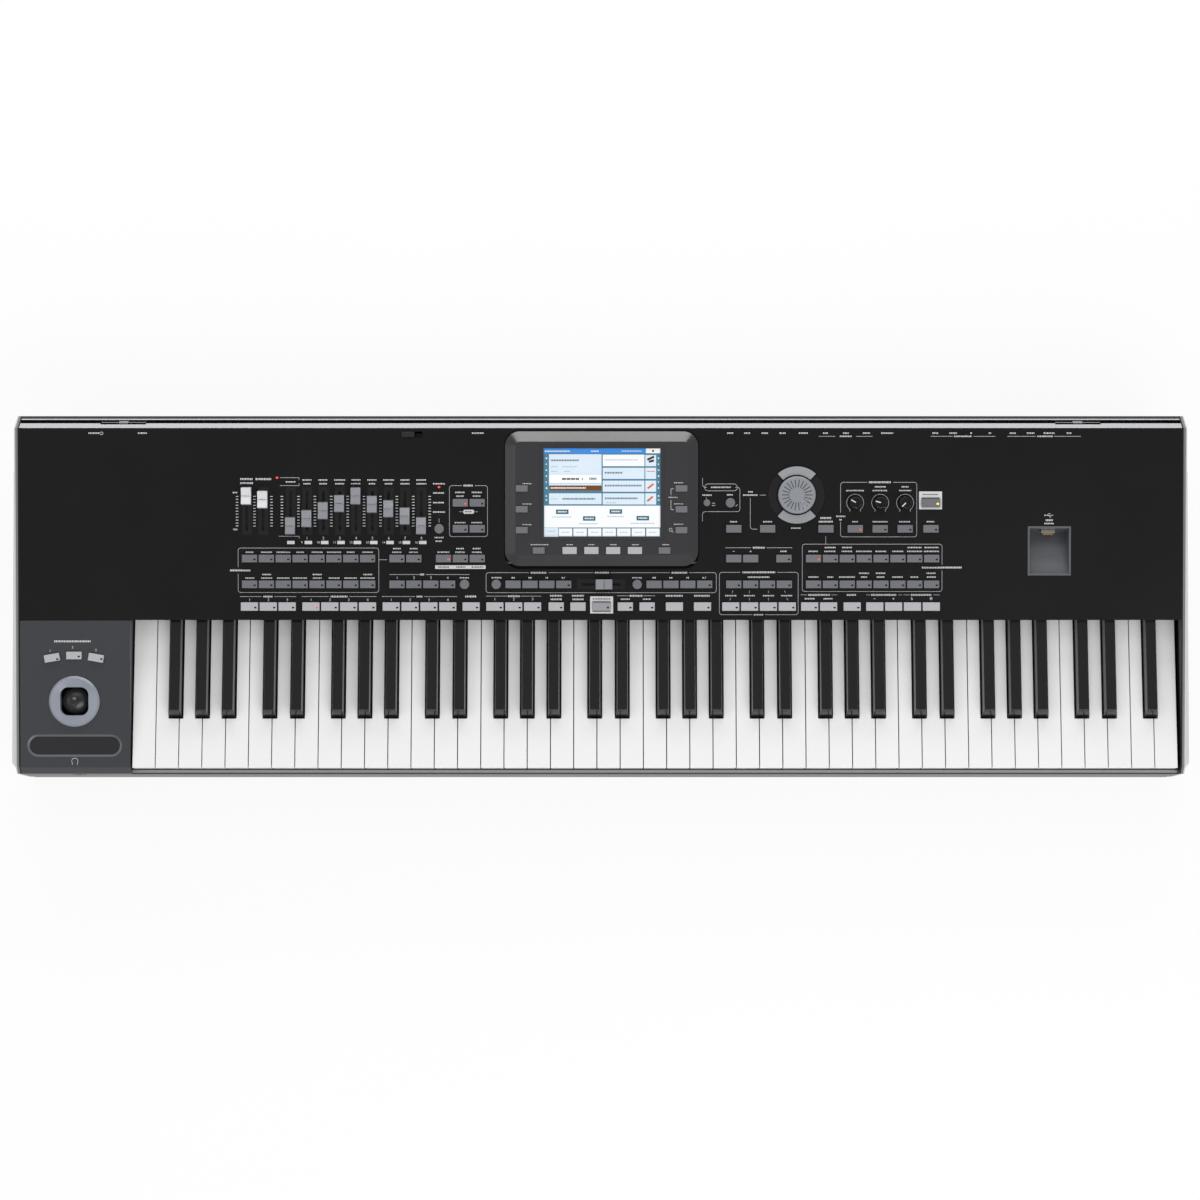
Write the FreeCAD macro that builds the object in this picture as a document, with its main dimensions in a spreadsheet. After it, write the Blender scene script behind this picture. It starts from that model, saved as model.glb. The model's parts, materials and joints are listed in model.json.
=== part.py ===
"""Arranger keyboard: 76 keys, a lifting display, and a sloped panel of buttons, sliders and knobs.

Millimetres. +X runs to the player's right, +Y away from the player and +Z up. The origin lies on the
floor under the middle of the case. Panel pieces are drawn in the panel's own frame: u to the right,
v up the slope from the panel's front edge, and w out of the panel's face.
"""
import FreeCAD, Part
import math
import os

import Sketcher

SIZES = {
    # Case
    "case_width": 1203.0,
    "case_depth": 360.0,
    "panel_rear_height": 127.0,
    "panel_length": 193.5,
    "panel_slope": 8.0,
    "panel_sheet": 2.0,
    "panel_lip": 9.0,
    "foot_height": 6.0,
    "foot_radius": 11.0,
    "foot_taper": 1.5,
    "foot_side_inset": 60.0,
    "foot_end_inset": 40.0,
    "floor_sheet": 1.5,
    "front_flange_height": 34.0,
    "rear_flange_height": 16.0,
    "rear_sheet": 2.0,
    "rear_inset": 2.0,
    "cut_overrun": 1.0,
    # End cheeks
    "cheek_plate": 5.0,
    "cheek_nose": 8.0,
    "cheek_bulge": 10.5,
    "bulge_root": 1.0,
    "bulge_low": 16.0,
    "bulge_drop": 9.0,
    "bulge_rear_setback": 30.0,
    "bulge_rear_taper": 25.0,
    "bulge_front_taper": 12.0,
    "boss_width": 12.0,
    "boss_height": 14.0,
    "boss_rear_inset": 30.0,
    "boss_pitch": 80.0,
    # Rear rail and key slip
    "rail_depth": 15.0,
    "rail_drop": 15.0,
    "rail_lip_height": 13.0,
    "rail_lip": 4.0,
    "rail_wall": 8.0,
    "groove_start": 8.5,
    "groove_width": 6.0,
    "groove_depth": 3.0,
    "stand_slot_width": 46.0,
    "stand_slot_depth": 5.0,
    "stand_slot_inset": 104.0,
    "slip_thickness": 4.4,
    "slip_height": 58.0,
    "slip_chamfer": 2.5,
    # Screws
    "screw_radius": 1.5,
    "screw_clearance": 0.1,
    "screw_head_radius": 3.0,
    "screw_head_height": 1.8,
    "screw_length": 9.0,
    "rear_screw_inset": 61.0,
    "rear_screw_height": 16.5,
    "bed_screw_inset": 168.75,
    # Keys
    "key_pitch": 23.5,
    "key_gap": 0.9,
    "first_key_inset": 112.25,
    "last_key_gap": 1.5,
    "key_front_inset": 5.5,
    "key_round": 1.0,
    "white_top_height": 78.0,
    "white_thickness": 12.0,
    "white_head": 50.0,
    "white_length": 206.5,
    "white_lip": 8.0,
    "white_lip_wall": 3.0,
    "black_width": 13.2,
    "black_top_width": 10.0,
    "black_height": 12.0,
    "black_front_gap": 1.5,
    "black_front_slope": 6.5,
    "black_cap_length": 106.5,
    "c_sharp_offset": -2.2,
    "d_sharp_offset": 2.2,
    "f_sharp_offset": -3.4,
    "g_sharp_offset": 0.0,
    "a_sharp_offset": 3.4,
    "key_dip": 10.0,
    "pivot_setback": 199.5,
    "bead_radius": 3.0,
    "bead_clearance": 0.08,
    # Key bed
    "bed_sheet": 2.0,
    "bed_deck_height": 44.0,
    "bed_front_inset": 6.5,
    "bed_tail_gap": 11.0,
    "bed_flange": 12.0,
    "bed_end_gap": 0.5,
    "stop_setback": 24.5,
    "stop_width": 8.0,
    "stop_gap": 0.6,
    "leaf_width": 6.0,
    "leaf_thickness": 0.5,
    "leaf_gap": 0.5,
    "leaf_reach": 5.0,
    # Buttons
    "dark_width": 15.4,
    "dark_depth": 7.7,
    "light_width": 17.3,
    "light_depth": 8.5,
    "start_width": 18.0,
    "standby_width": 18.8,
    "round_radius": 4.8,
    "small_round_radius": 3.5,
    "button_height": 2.6,
    "button_flange": 0.5,
    "button_flange_height": 1.1,
    "button_flange_gap": 0.3,
    "button_gap": 0.3,
    "button_travel": 1.0,
    "button_round": 0.5,
    "switch_size": 6.0,
    "switch_gap": 0.2,
    "dark_pitch": 17.0,
    "light_pitch": 19.0,
    "short_pitch": 22.0,
    # Button rows, measured up the slope from the panel's front edge
    "light_row_v": 13.6,
    "bank_lower_v": 36.0,
    "bank_upper_v": 62.0,
    "mid_row_v": 92.0,
    "top_row_v": 118.2,
    # Button columns, measured to the right from the panel's middle
    "style_bank_u": -353.8,
    "sound_bank_u": 214.6,
    "pad_u": -205.2,
    "memory_u": -158.3,
    "mode_u": -141.3,
    "slider_mode_u": -162.7,
    "player_left_u": -105.2,
    "player_right_u": 36.9,
    "menu_u": 134.2,
    "menu_pitch": 34.1,
    "style_change_u": 227.0,
    "tempo_lock_u": 184.7,
    "voice_u": 256.6,
    "voice_pitch": 25.1,
    "help_u": 332.8,
    "unlock_u": 107.1,
    "lift_u": 130.8,
    "intro_u": -354.0,
    "variation_u": -292.0,
    "fill_u": -211.1,
    "break_u": -130.5,
    "ending_u": -106.6,
    "fade_u": -44.8,
    "start_u": 1.0,
    "sync_u": 24.9,
    "book_u": 74.4,
    "ensemble_u": 102.7,
    "track_u": 131.2,
    "scan_u": 210.8,
    "split_u": 253.6,
    "octave_u": 276.4,
    "transpose_u": 314.4,
    # Sliders and crossfader
    "slider_v": 110.0,
    "slider_travel": 30.0,
    "slider_first_u": -312.4,
    "slider_pitch": 16.47,
    "master_u": -356.7,
    "balance_u": -340.3,
    "crossfader_u": 0.5,
    "crossfader_rest": 2.9,
    "cap_width": 9.9,
    "cap_length": 17.9,
    "cap_top_length": 16.4,
    "cap_height": 7.3,
    "cap_dip": 1.7,
    "cap_ridge": 0.6,
    "cap_lift": 1.2,
    "lever_width": 1.8,
    "lever_length": 6.0,
    "slot_gap": 0.4,
    "recess_depth": 1.0,
    "recess_gap": 0.35,
    "pot_width": 8.6,
    "pot_overlap": 8.0,
    # Dial and knobs
    "dial_u": 197.6,
    "dial_v": 126.0,
    "dial_radius": 18.9,
    "dial_height": 6.4,
    "dial_lift": 0.6,
    "dial_round": 1.2,
    "dimple_u": 6.7,
    "dimple_v": -8.8,
    "dimple_ball": 9.0,
    "dimple_depth": 1.4,
    "arc_inner": 20.2,
    "arc_outer": 28.8,
    "arc_angle": 84.0,
    "shaft_radius": 3.0,
    "shaft_gap": 0.25,
    "knob_u": 256.5,
    "knob_pitch": 25.1,
    "knob_radius": 6.5,
    "knob_top_radius": 5.6,
    "knob_height": 10.8,
    "pointer_width": 1.0,
    "pointer_depth": 0.6,
    "encoder_size": 12.0,
    # Display
    "display_u": 1.0,
    "display_width": 194.6,
    "display_front_v": 54.5,
    "display_length": 135.5,
    "display_corner": 15.0,
    "display_sunk": 6.0,
    "display_side": 2.0,
    "display_height": 9.0,
    "display_bevel": 10.5,
    "display_gap": 0.8,
    "display_front_gap": 3.0,
    "tray_gap": 0.5,
    "tray_wall": 1.4,
    "hinge_radius": 3.5,
    "hinge_pin_radius": 1.6,
    "hinge_clearance": 0.06,
    "screen_u": 1.5,
    "screen_v": 128.3,
    "screen_width": 117.5,
    "screen_length": 88.8,
    "bezel_border": 4.0,
    "bezel_step": 1.2,
    "bezel_thickness": 3.0,
    "module_border": 2.0,
    "module_gap": 0.1,
    "side_key_u": 80.2,
    "side_key_v": 90.6,
    "side_key_pitch": 20.9,
    "side_key_width": 12.0,
    "side_key_depth": 6.4,
    "lower_key_v": 70.1,
    "lower_key_u": 63.2,
    "setting_key_u": -32.1,
    "setting_key_pitch": 21.85,
    "setting_key_width": 14.3,
    "setting_key_depth": 7.1,
    "key_cavity_depth": 3.0,
    # USB well and speaker latch
    "well_u": 452.5,
    "well_v": 46.9,
    "well_width": 39.6,
    "well_length": 45.7,
    "well_wall": 2.0,
    "well_front_depth": 5.0,
    "well_rear_depth": 23.0,
    "well_gap": 0.15,
    "well_socket_drop": 12.0,
    "usb_width": 12.6,
    "usb_height": 5.2,
    "usb_depth": 12.0,
    "usb_wall": 1.6,
    "latch_u": -190.1,
    "latch_inset": 6.5,
    "latch_length": 12.6,
    "latch_width": 5.4,
    "latch_height": 1.4,
    "latch_travel": 8.0,
    "latch_gap": 0.3,
    # Joystick block
    "block_width": 111.0,
    "block_depth": 13.5,
    "block_chamfer": 7.0,
    "block_gap": 0.5,
    "block_wall": 3.0,
    "block_wall_depth": 34.0,
    "block_wall_front": 9.0,
    "joystick_inset": 54.8,
    "joystick_v": -82.1,
    "collar_radius": 25.6,
    "collar_height": 3.0,
    "collar_slope": 2.0,
    "spigot_radius": 20.0,
    "spigot_depth": 6.0,
    "opening_half": 14.3,
    "opening_corner": 8.0,
    "stick_pivot_depth": 16.0,
    "ear_inner": 16.5,
    "ear_thickness": 3.0,
    "ear_half_width": 4.0,
    "ear_tail": 4.0,
    "gimbal_outer": 15.5,
    "gimbal_inner": 12.6,
    "gimbal_height": 5.0,
    "stick_ball": 11.0,
    "stick_radius": 4.8,
    "stick_neck": 4.2,
    "stick_tip": 8.0,
    "gimbal_pin_radius": 1.5,
    "gimbal_pin_clearance": 0.05,
    "gimbal_pin_length": 3.8,
    "assign_pitch": 22.2,
    "assign_v": -35.8,
    "assign_outer_drop": 2.3,
    "assign_turn": 10.0,
    "ribbon_v": -126.9,
    "ribbon_length": 91.1,
    "ribbon_width": 18.0,
    "ribbon_border": 2.4,
    "ribbon_recess": 1.4,
    "ribbon_thickness": 0.8,
    # Boards and power supply
    "board_sheet": 1.6,
    "panel_board_depth": 12.4,
    "panel_board_front": 11.8,
    "panel_board_rear_gap": 5.0,
    "panel_board_half_width": 378.0,
    "post_radius": 2.5,
    "post_inner_u": 152.0,
    "contact_board_setback": 60.0,
    "contact_board_depth": 70.0,
    "main_board_width": 420.0,
    "main_board_depth": 85.0,
    "main_board_left": 60.0,
    "main_board_rear_gap": 14.0,
    "main_board_lift": 7.5,
    "main_board_margin": 8.0,
    "supply_width": 150.0,
    "supply_depth": 86.0,
    "supply_height": 45.0,
    "supply_inset": 40.0,
    "supply_rear_gap": 27.0,
    # Rear connectors
    "socket_height": 62.0,
    "socket_proud": 0.8,
    "socket_gap": 0.2,
    "jack_width": 14.0,
    "jack_depth": 26.0,
    "jack_radius": 3.2,
    "jack_bore": 22.0,
    "din_width": 18.5,
    "din_depth": 16.0,
    "din_radius": 7.5,
    "din_bore": 9.0,
    "coax_width": 13.0,
    "coax_radius": 4.2,
    "combo_width": 24.0,
    "combo_radius": 9.6,
    "combo_bore": 14.0,
    "device_width": 13.0,
    "device_slot_width": 8.6,
    "device_slot_height": 8.0,
    "device_slot_depth": 9.0,
    "inlet_width": 31.0,
    "inlet_height": 24.0,
    "inlet_slot_width": 24.6,
    "inlet_slot_height": 17.0,
    "inlet_slot_depth": 16.0,
    "rocker_frame_width": 24.0,
    "rocker_frame_height": 17.0,
    "rocker_frame_wall": 2.2,
    "rocker_frame_depth": 12.0,
    "rocker_gap": 0.8,
    "rocker_depth": 7.0,
    "rocker_dent": 1.6,
    "rocker_rest": 7.0,
    "rocker_pin_radius": 1.2,
    "rocker_pin_clearance": 0.06,
    "rocker_pin_length": 1.6,
    "headphone_drop": 10.0,
    "power_inset": 76.0,
    "inlet_inset": 124.4,
    "video_u": -123.7,
    "usb_host_inset": 455.5,
    "usb_device_inset": 438.3,
    "pedal_inset": 420.2,
    "pedal_pitch": 17.9,
    "foot_control_inset": 381.8,
    "midi_inset": 359.4,
    "midi_pitch": 20.6,
    "digital_inset": 297.3,
    "output_inset": 248.5,
    "output_pitch": 18.2,
    "input_inset": 170.7,
    "input_pitch": 17.9,
    "mic_inset": 114.1,
}

SLIDER_REST_SHARES = (1.0, 0.88, 0.0, 0.24, 0.507, 0.745, 1.0, 0.72, 0.57, 0.325, 0.0)
KNOB_REST_TURNS = (60.0, 75.0, 135.0)
BULGE_REAR_SHARES = ((0.0, 0.03), (0.33, 0.26), (0.67, 0.74), (1.0, 1.0))

# Two heights closer than this share of a millimetre are the same height
NEAR = 1e-6

X_AXIS = FreeCAD.Vector(1, 0, 0)
Y_AXIS = FreeCAD.Vector(0, 1, 0)
Z_AXIS = FreeCAD.Vector(0, 0, 1)


class Size:
    """A number that carries the spreadsheet expression it comes from."""

    def __init__(self, text, value):
        self.text = text
        self.value = value

    def __add__(self, other):
        other = as_size(other)
        return Size(f"({self.text} + {other.text})", self.value + other.value)

    def __sub__(self, other):
        other = as_size(other)
        return Size(f"({self.text} - {other.text})", self.value - other.value)

    def __mul__(self, other):
        other = as_size(other)
        return Size(f"({self.text} * {other.text})", self.value * other.value)

    def __truediv__(self, other):
        other = as_size(other)
        return Size(f"({self.text} / {other.text})", self.value / other.value)

    def __radd__(self, other):
        return as_size(other) + self

    def __rsub__(self, other):
        return as_size(other) - self

    def __rmul__(self, other):
        return as_size(other) * self

    def __neg__(self):
        return Size(f"(-1 * {self.text})", -self.value)


def as_size(item):
    if isinstance(item, Size):
        return item
    return Size(repr(float(item)), float(item))


def cosine(angle):
    return Size(f"cos({angle.text})", math.cos(math.radians(angle.value)))


def sine(angle):
    return Size(f"sin({angle.text})", math.sin(math.radians(angle.value)))


def tangent(angle):
    return Size(f"tan({angle.text})", math.tan(math.radians(angle.value)))


class SizeSheet:
    """The spreadsheet of driving dimensions, read as attributes."""

    def __init__(self, document):
        self.sheet = document.addObject("Spreadsheet::Sheet", "Sizes")
        for row, (name, number) in enumerate(SIZES.items(), start=1):
            self.sheet.set(f"A{row}", name)
            self.sheet.set(f"B{row}", str(number))
            self.sheet.setAlias(f"B{row}", name)
        document.recompute()

    def __getattr__(self, name):
        return Size(f"Sizes.{name}", float(self.sheet.get(name)))


doc = FreeCAD.newDocument("arranger_keyboard")
S = SizeSheet(doc)
parts = []

# Places that several pieces share
INSIDE = S.case_width / 2 - S.cheek_bulge - S.cheek_plate
FRONT = -S.case_depth / 2
REAR = S.case_depth / 2
PANEL_REAR_Y = REAR - S.rail_depth
PANEL_FRONT_Y = PANEL_REAR_Y - S.panel_length * cosine(S.panel_slope)
PANEL_FRONT_Z = S.panel_rear_height - S.panel_length * sine(S.panel_slope)
FLOOR_TOP = S.foot_height + S.floor_sheet
REAR_FACE = REAR - S.rear_inset
REAR_INNER = REAR_FACE - S.rear_sheet
RAIL_LOW = S.panel_rear_height - S.rail_drop
RAIL_BOTTOM = RAIL_LOW - S.rail_lip_height
KEYS_LEFT = S.first_key_inset - INSIDE
KEY_FRONT = FRONT + S.key_front_inset
KEY_BOTTOM = S.white_top_height - S.white_thickness
PIVOT_Y = KEY_FRONT + S.pivot_setback
BED_FRONT = KEY_FRONT + S.bed_front_inset
BED_REAR = KEY_FRONT + S.white_length + S.bed_tail_gap
DECK_TOP = S.bed_deck_height + S.bed_sheet
BUTTON_LOW = S.panel_sheet + S.button_flange_gap + S.button_flange_height
LEVER_LOW = S.panel_sheet + S.button_flange_gap + S.button_flange_height + S.button_travel
BOARD_TOP = -S.panel_board_depth
JOYSTICK_U = S.joystick_inset - INSIDE
POWER_U = S.power_inset - INSIDE
STAND_SLOT_U = INSIDE - S.stand_slot_inset
LATCH_V = S.panel_length - S.latch_inset
BLOCK_RIGHT = S.block_width - INSIDE
HINGE_V = S.display_front_v + S.hinge_radius
HINGE_W = S.hinge_radius - S.display_sunk


# Document helpers
def bind(item, name, size):
    item.setExpression(name, as_size(size).text)


def place(item, x=0, y=0, z=0, axis=None, turn=0):
    if axis is not None:
        item.Placement = FreeCAD.Placement(FreeCAD.Vector(), FreeCAD.Rotation(axis, as_size(turn).value))
    for letter, size in zip("xyz", (x, y, z)):
        bind(item, f"Placement.Base.{letter}", size)
    if isinstance(turn, Size):
        bind(item, "Placement.Rotation.Angle", turn)
    return item


def on_panel(item):
    return place(item, 0, PANEL_FRONT_Y, PANEL_FRONT_Z, X_AXIS, S.panel_slope)


def sub_part(item, label):
    item.Label = label
    parts.append(item)
    return item


def box(name, corner, size):
    item = doc.addObject("Part::Box", name)
    for prop, length in zip(("Length", "Width", "Height"), size):
        bind(item, prop, length)
    return place(item, *corner)


def cylinder(name, start, radius, length, along="z"):
    item = doc.addObject("Part::Cylinder", name)
    bind(item, "Radius", radius)
    bind(item, "Height", length)
    turns = {"x": (Y_AXIS, 90), "y": (X_AXIS, -90), "z": (None, 0)}
    axis, turn = turns[along]
    return place(item, *start, axis, turn)


def fuse(name, pieces):
    item = doc.addObject("Part::MultiFuse", name)
    item.Shapes = pieces
    item.Refine = True
    return item


def cut(name, base, tool):
    item = doc.addObject("Part::Cut", name)
    item.Base = base
    item.Tool = tool
    return item


def group(name, pieces):
    item = doc.addObject("Part::Compound", name)
    item.Links = pieces
    return item


def copy_of(master, x=0, y=0, z=0, axis=None, turn=0):
    item = doc.addObject("App::Link", f"{master.Name}_copy")
    item.LinkedObject = master
    return place(item, x, y, z, axis, turn)


def new_body(name):
    return doc.addObject("PartDesign::Body", name)


def new_sketch(body, role, offset=None):
    sketch = body.newObject("Sketcher::SketchObject", f"{body.Name}_sketch")
    plane = next(item for item in body.Origin.OriginFeatures if item.Role == role)
    sketch.AttachmentSupport = (plane, [""])
    sketch.MapMode = "FlatFace"
    if offset is not None:
        bind(sketch, "AttachmentOffset.Base.z", offset)
    return sketch


def tie_point(sketch, edge, end, x, y):
    """Ties one end of an edge to its two distances from the sketch's origin."""
    for kind, size in (("DistanceX", as_size(x)), ("DistanceY", as_size(y))):
        number = sketch.addConstraint(Sketcher.Constraint(kind, -1, 1, edge, end, size.value))
        sketch.setExpression(f"Constraints[{number}]", size.text)


def draw_outline(sketch, points):
    """Draws a closed outline of straight lines through the points."""
    corners = [FreeCAD.Vector(as_size(x).value, as_size(y).value, 0) for x, y in points]
    count = len(corners)
    for index in range(count):
        sketch.addGeometry(Part.LineSegment(corners[index], corners[(index + 1) % count]))
    for index in range(count):
        sketch.addConstraint(Sketcher.Constraint("Coincident", index, 2, (index + 1) % count, 1))
    for index, (x, y) in enumerate(points):
        tie_point(sketch, index, 1, x, y)


def pad(body, role, points, length, offset=None, reverse=False):
    sketch = new_sketch(body, role, offset)
    draw_outline(sketch, points)
    item = body.newObject("PartDesign::Pad", f"{body.Name}_pad")
    item.Profile = sketch
    item.Reversed = reverse
    bind(item, "Length", length)
    return item


def edge_names(item, wanted):
    edges = enumerate(item.Shape.Edges, start=1)
    return [f"Edge{number}" for number, edge in edges if wanted(edge.BoundBox)]


def round_edges(body, radius, wanted):
    """Rounds the edges of the body's last feature that the test picks."""
    doc.recompute()
    base = body.Tip
    item = body.newObject("PartDesign::Fillet", f"{body.Name}_round")
    item.Base = (base, edge_names(base, wanted))
    bind(item, "Radius", radius)
    return item


def prism(name, points, start, length):
    """A profile in the side view, drawn out along X."""
    body = new_body(name)
    pad(body, "YZ_Plane", points, length)
    return place(body, start)


def slab(name, points, low, height):
    """A plan outline, drawn out along Z from the low face."""
    body = new_body(name)
    pad(body, "XY_Plane", points, height, low)
    return body


def rectangle(width, depth, u=0, v=0):
    left, right = u - width / 2, u + width / 2
    near, far = v - depth / 2, v + depth / 2
    return [(left, near), (right, near), (right, far), (left, far)]


def turned(name, points):
    """A half profile in radius and height, turned about Z."""
    body = new_body(name)
    sketch = new_sketch(body, "XZ_Plane")
    draw_outline(sketch, points)
    item = body.newObject("PartDesign::Revolution", f"{name}_revolution")
    item.Profile = sketch
    item.ReferenceAxis = (sketch, ["V_Axis"])
    item.Angle = 360
    return body


def rounded_slab(name, width, depth, low, height, radius, u=0, v=0):
    body = slab(name, rectangle(width, depth, u, v), low, height)
    tall = height.value
    round_edges(body, radius, lambda bounds: abs(bounds.ZLength - tall) < NEAR)
    return body


# Case
def slope_height(y):
    return S.panel_rear_height - (PANEL_REAR_Y - y) * tangent(S.panel_slope)


def screw_hole(name, start, length, along):
    return cylinder(name, start, S.screw_radius + S.screw_clearance, length, along)


def cheek_screw_places():
    rows = [REAR - S.boss_rear_inset - index * S.boss_pitch for index in range(2)]
    return [(side * (INSIDE - S.boss_width / 2), y) for side in (-1, 1) for y in rows]


def bed_screw_places():
    pitch = (key_span() - 2 * S.bed_screw_inset) / 3
    columns = [KEYS_LEFT + S.bed_screw_inset + index * pitch for index in range(4)]
    rows = [BED_FRONT + S.bed_sheet + S.bed_flange / 2, BED_REAR + S.bed_sheet + S.bed_flange / 2]
    return [(x, y) for x in columns for y in rows]


def rear_screw_places():
    reach = INSIDE - S.rear_screw_inset
    return [(index / 2.5 - 1) * reach for index in range(6)]


def key_span():
    return WHITE_COUNT * S.key_pitch


def make_bottom_case():
    front = FRONT + S.slip_thickness
    flange_rear = REAR_INNER
    flange_front = flange_rear - S.floor_sheet
    points = [
        (front, S.foot_height),
        (REAR_FACE, S.foot_height),
        (REAR_FACE, FLOOR_TOP),
        (flange_rear, FLOOR_TOP),
        (flange_rear, FLOOR_TOP + S.rear_flange_height),
        (flange_front, FLOOR_TOP + S.rear_flange_height),
        (flange_front, FLOOR_TOP),
        (front + S.floor_sheet, FLOOR_TOP),
        (front + S.floor_sheet, S.foot_height + S.front_flange_height),
        (front, S.foot_height + S.front_flange_height),
    ]
    tray = prism("floor_tray", points, -INSIDE, 2 * INSIDE)
    posts = [
        cylinder("board_post", (x, y, FLOOR_TOP), S.post_radius, S.main_board_lift)
        for x, y in main_board_corners()
    ]
    low = S.foot_height - S.cut_overrun
    deep = S.floor_sheet + 2 * S.cut_overrun
    places = cheek_screw_places() + bed_screw_places()
    holes = [screw_hole("floor_hole", (x, y, low), deep, "z") for x, y in places]
    holes += [
        screw_hole("flange_hole", (x, flange_front - S.cut_overrun, S.rear_screw_height), deep, "y")
        for x in rear_screw_places()
    ]
    solid = fuse("floor_with_posts", [tray] + posts)
    sub_part(cut("floor_drilled", solid, group("floor_holes", holes)), "bottom_case")


def make_end_cheeks():
    nose_y = FRONT + S.cheek_nose
    points = [
        (nose_y, S.foot_height),
        (REAR, S.foot_height),
        (REAR, RAIL_LOW),
        (PANEL_REAR_Y, S.panel_rear_height),
        (nose_y, slope_height(nose_y)),
        (FRONT, slope_height(nose_y) - S.cheek_nose),
        (FRONT, S.foot_height + S.cheek_nose),
    ]
    plate = prism("cheek_plate_right", points, INSIDE, S.cheek_plate)
    bosses = [
        box(
            "cheek_boss",
            (INSIDE - S.boss_width, y - S.boss_width / 2, FLOOR_TOP),
            (S.boss_width, S.boss_width, S.boss_height),
        )
        for x, y in cheek_screw_places()[2:]
    ]
    holes = [
        screw_hole("boss_hole", (x, y, FLOOR_TOP - S.cut_overrun), S.boss_height, "z")
        for x, y in cheek_screw_places()[2:]
    ]
    solid = fuse("cheek_solid", [plate, make_cheek_bulge()] + bosses)
    right = cut("cheek_drilled", solid, group("cheek_holes", holes))
    sub_part(right, "right_end_cheek")
    left = doc.addObject("Part::Mirroring", "cheek_mirrored")
    left.Source = right
    left.Normal = X_AXIS
    sub_part(left, "left_end_cheek")


def make_cheek_bulge():
    """A rounded side rail: circular sections that swell in an S from the rear and run to the front."""
    rear = REAR - S.bulge_rear_setback
    places = [(rear - along * S.bulge_rear_taper, share) for along, share in BULGE_REAR_SHARES]
    places.append((FRONT + S.bulge_front_taper, BULGE_REAR_SHARES[-1][1]))
    places.append((FRONT, BULGE_REAR_SHARES[0][1]))
    body = new_body("cheek_bulge_right")
    sections = []
    for y, share in places:
        sketch = new_sketch(body, "XZ_Plane", -y)
        high = slope_height(y) - S.bulge_drop
        rise = share * S.cheek_bulge + S.bulge_root
        half = (high - S.bulge_low) / 2
        radius = (half * half + rise * rise) / (2 * rise)
        low_end = FreeCAD.Vector(0, S.bulge_low.value, 0)
        high_end = FreeCAD.Vector(0, high.value, 0)
        crown = FreeCAD.Vector(rise.value, S.bulge_low.value + half.value, 0)
        sketch.addGeometry(Part.LineSegment(high_end, low_end))
        sketch.addGeometry(Part.Arc(low_end, crown, high_end))
        sketch.addConstraint(Sketcher.Constraint("Coincident", 0, 2, 1, 1))
        sketch.addConstraint(Sketcher.Constraint("Coincident", 0, 1, 1, 2))
        tie_point(sketch, 0, 1, 0, high)
        tie_point(sketch, 0, 2, 0, S.bulge_low)
        number = sketch.addConstraint(Sketcher.Constraint("Radius", 1, radius.value))
        sketch.setExpression(f"Constraints[{number}]", radius.text)
        sections.append(sketch)
    loft = body.newObject("PartDesign::AdditiveLoft", "cheek_bulge_loft")
    loft.Profile = sections[0]
    loft.Sections = sections[1:]
    loft.Ruled = True
    return place(body, INSIDE + S.cheek_plate - S.bulge_root)


def make_rear_rail():
    across = S.rail_depth / S.rail_drop
    length_share = 1 / math.sqrt(2)
    groove_a = S.groove_start * length_share
    groove_b = (S.groove_start + S.groove_width) * length_share
    sunk = S.groove_depth * length_share
    inner_z = S.panel_rear_height - S.rail_wall
    lip_y = REAR - S.rail_lip
    points = [
        (PANEL_REAR_Y, S.panel_rear_height),
        (PANEL_REAR_Y, inner_z),
        (lip_y, inner_z - (lip_y - PANEL_REAR_Y) / across),
        (lip_y, RAIL_BOTTOM),
        (REAR, RAIL_BOTTOM),
        (REAR, RAIL_LOW),
        (PANEL_REAR_Y + groove_b * across, S.panel_rear_height - groove_b),
        (PANEL_REAR_Y + groove_b * across - sunk, S.panel_rear_height - groove_b - sunk),
        (PANEL_REAR_Y + groove_a * across - sunk, S.panel_rear_height - groove_a - sunk),
        (PANEL_REAR_Y + groove_a * across, S.panel_rear_height - groove_a),
    ]
    rail = prism("rail_section", points, -INSIDE, 2 * INSIDE)
    slot_y = PANEL_REAR_Y + (groove_a + groove_b) / 2 * across - sunk / 2 - S.stand_slot_depth / 2
    slots = [
        box(
            "stand_slot",
            (side * STAND_SLOT_U - S.stand_slot_width / 2, slot_y, RAIL_BOTTOM),
            (S.stand_slot_width, S.stand_slot_depth, S.panel_rear_height - RAIL_BOTTOM),
        )
        for side in (-1, 1)
    ]
    sub_part(cut("rail_slotted", rail, group("stand_slots", slots)), "rear_rail")


def make_key_slip():
    top = S.foot_height + S.slip_height
    points = [
        (FRONT, S.foot_height),
        (FRONT + S.slip_thickness, S.foot_height),
        (FRONT + S.slip_thickness, top),
        (FRONT + S.slip_chamfer, top),
        (FRONT, top - S.slip_chamfer),
    ]
    slip = prism("slip_section", points, -INSIDE, 2 * INSIDE)
    jack_z = top - S.headphone_drop
    window = socket_window(JOYSTICK_U, jack_z, S.jack_width, S.jack_width, FRONT, S.slip_thickness)
    sub_part(cut("slip_with_window", slip, window), "key_slip")


def make_rubber_feet():
    points = [
        (0, 0),
        (S.foot_radius - S.foot_taper, 0),
        (S.foot_radius, S.foot_height),
        (0, S.foot_height),
    ]
    foot = turned("rubber_foot", points)
    far_x = INSIDE - S.foot_side_inset
    far_y = REAR - S.foot_end_inset
    places = [(-far_x, -far_y), (far_x, -far_y), (-far_x, far_y), (far_x, far_y), (0, 0)]
    sub_part(group("feet", [copy_of(foot, x, y) for x, y in places]), "rubber_feet")


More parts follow.
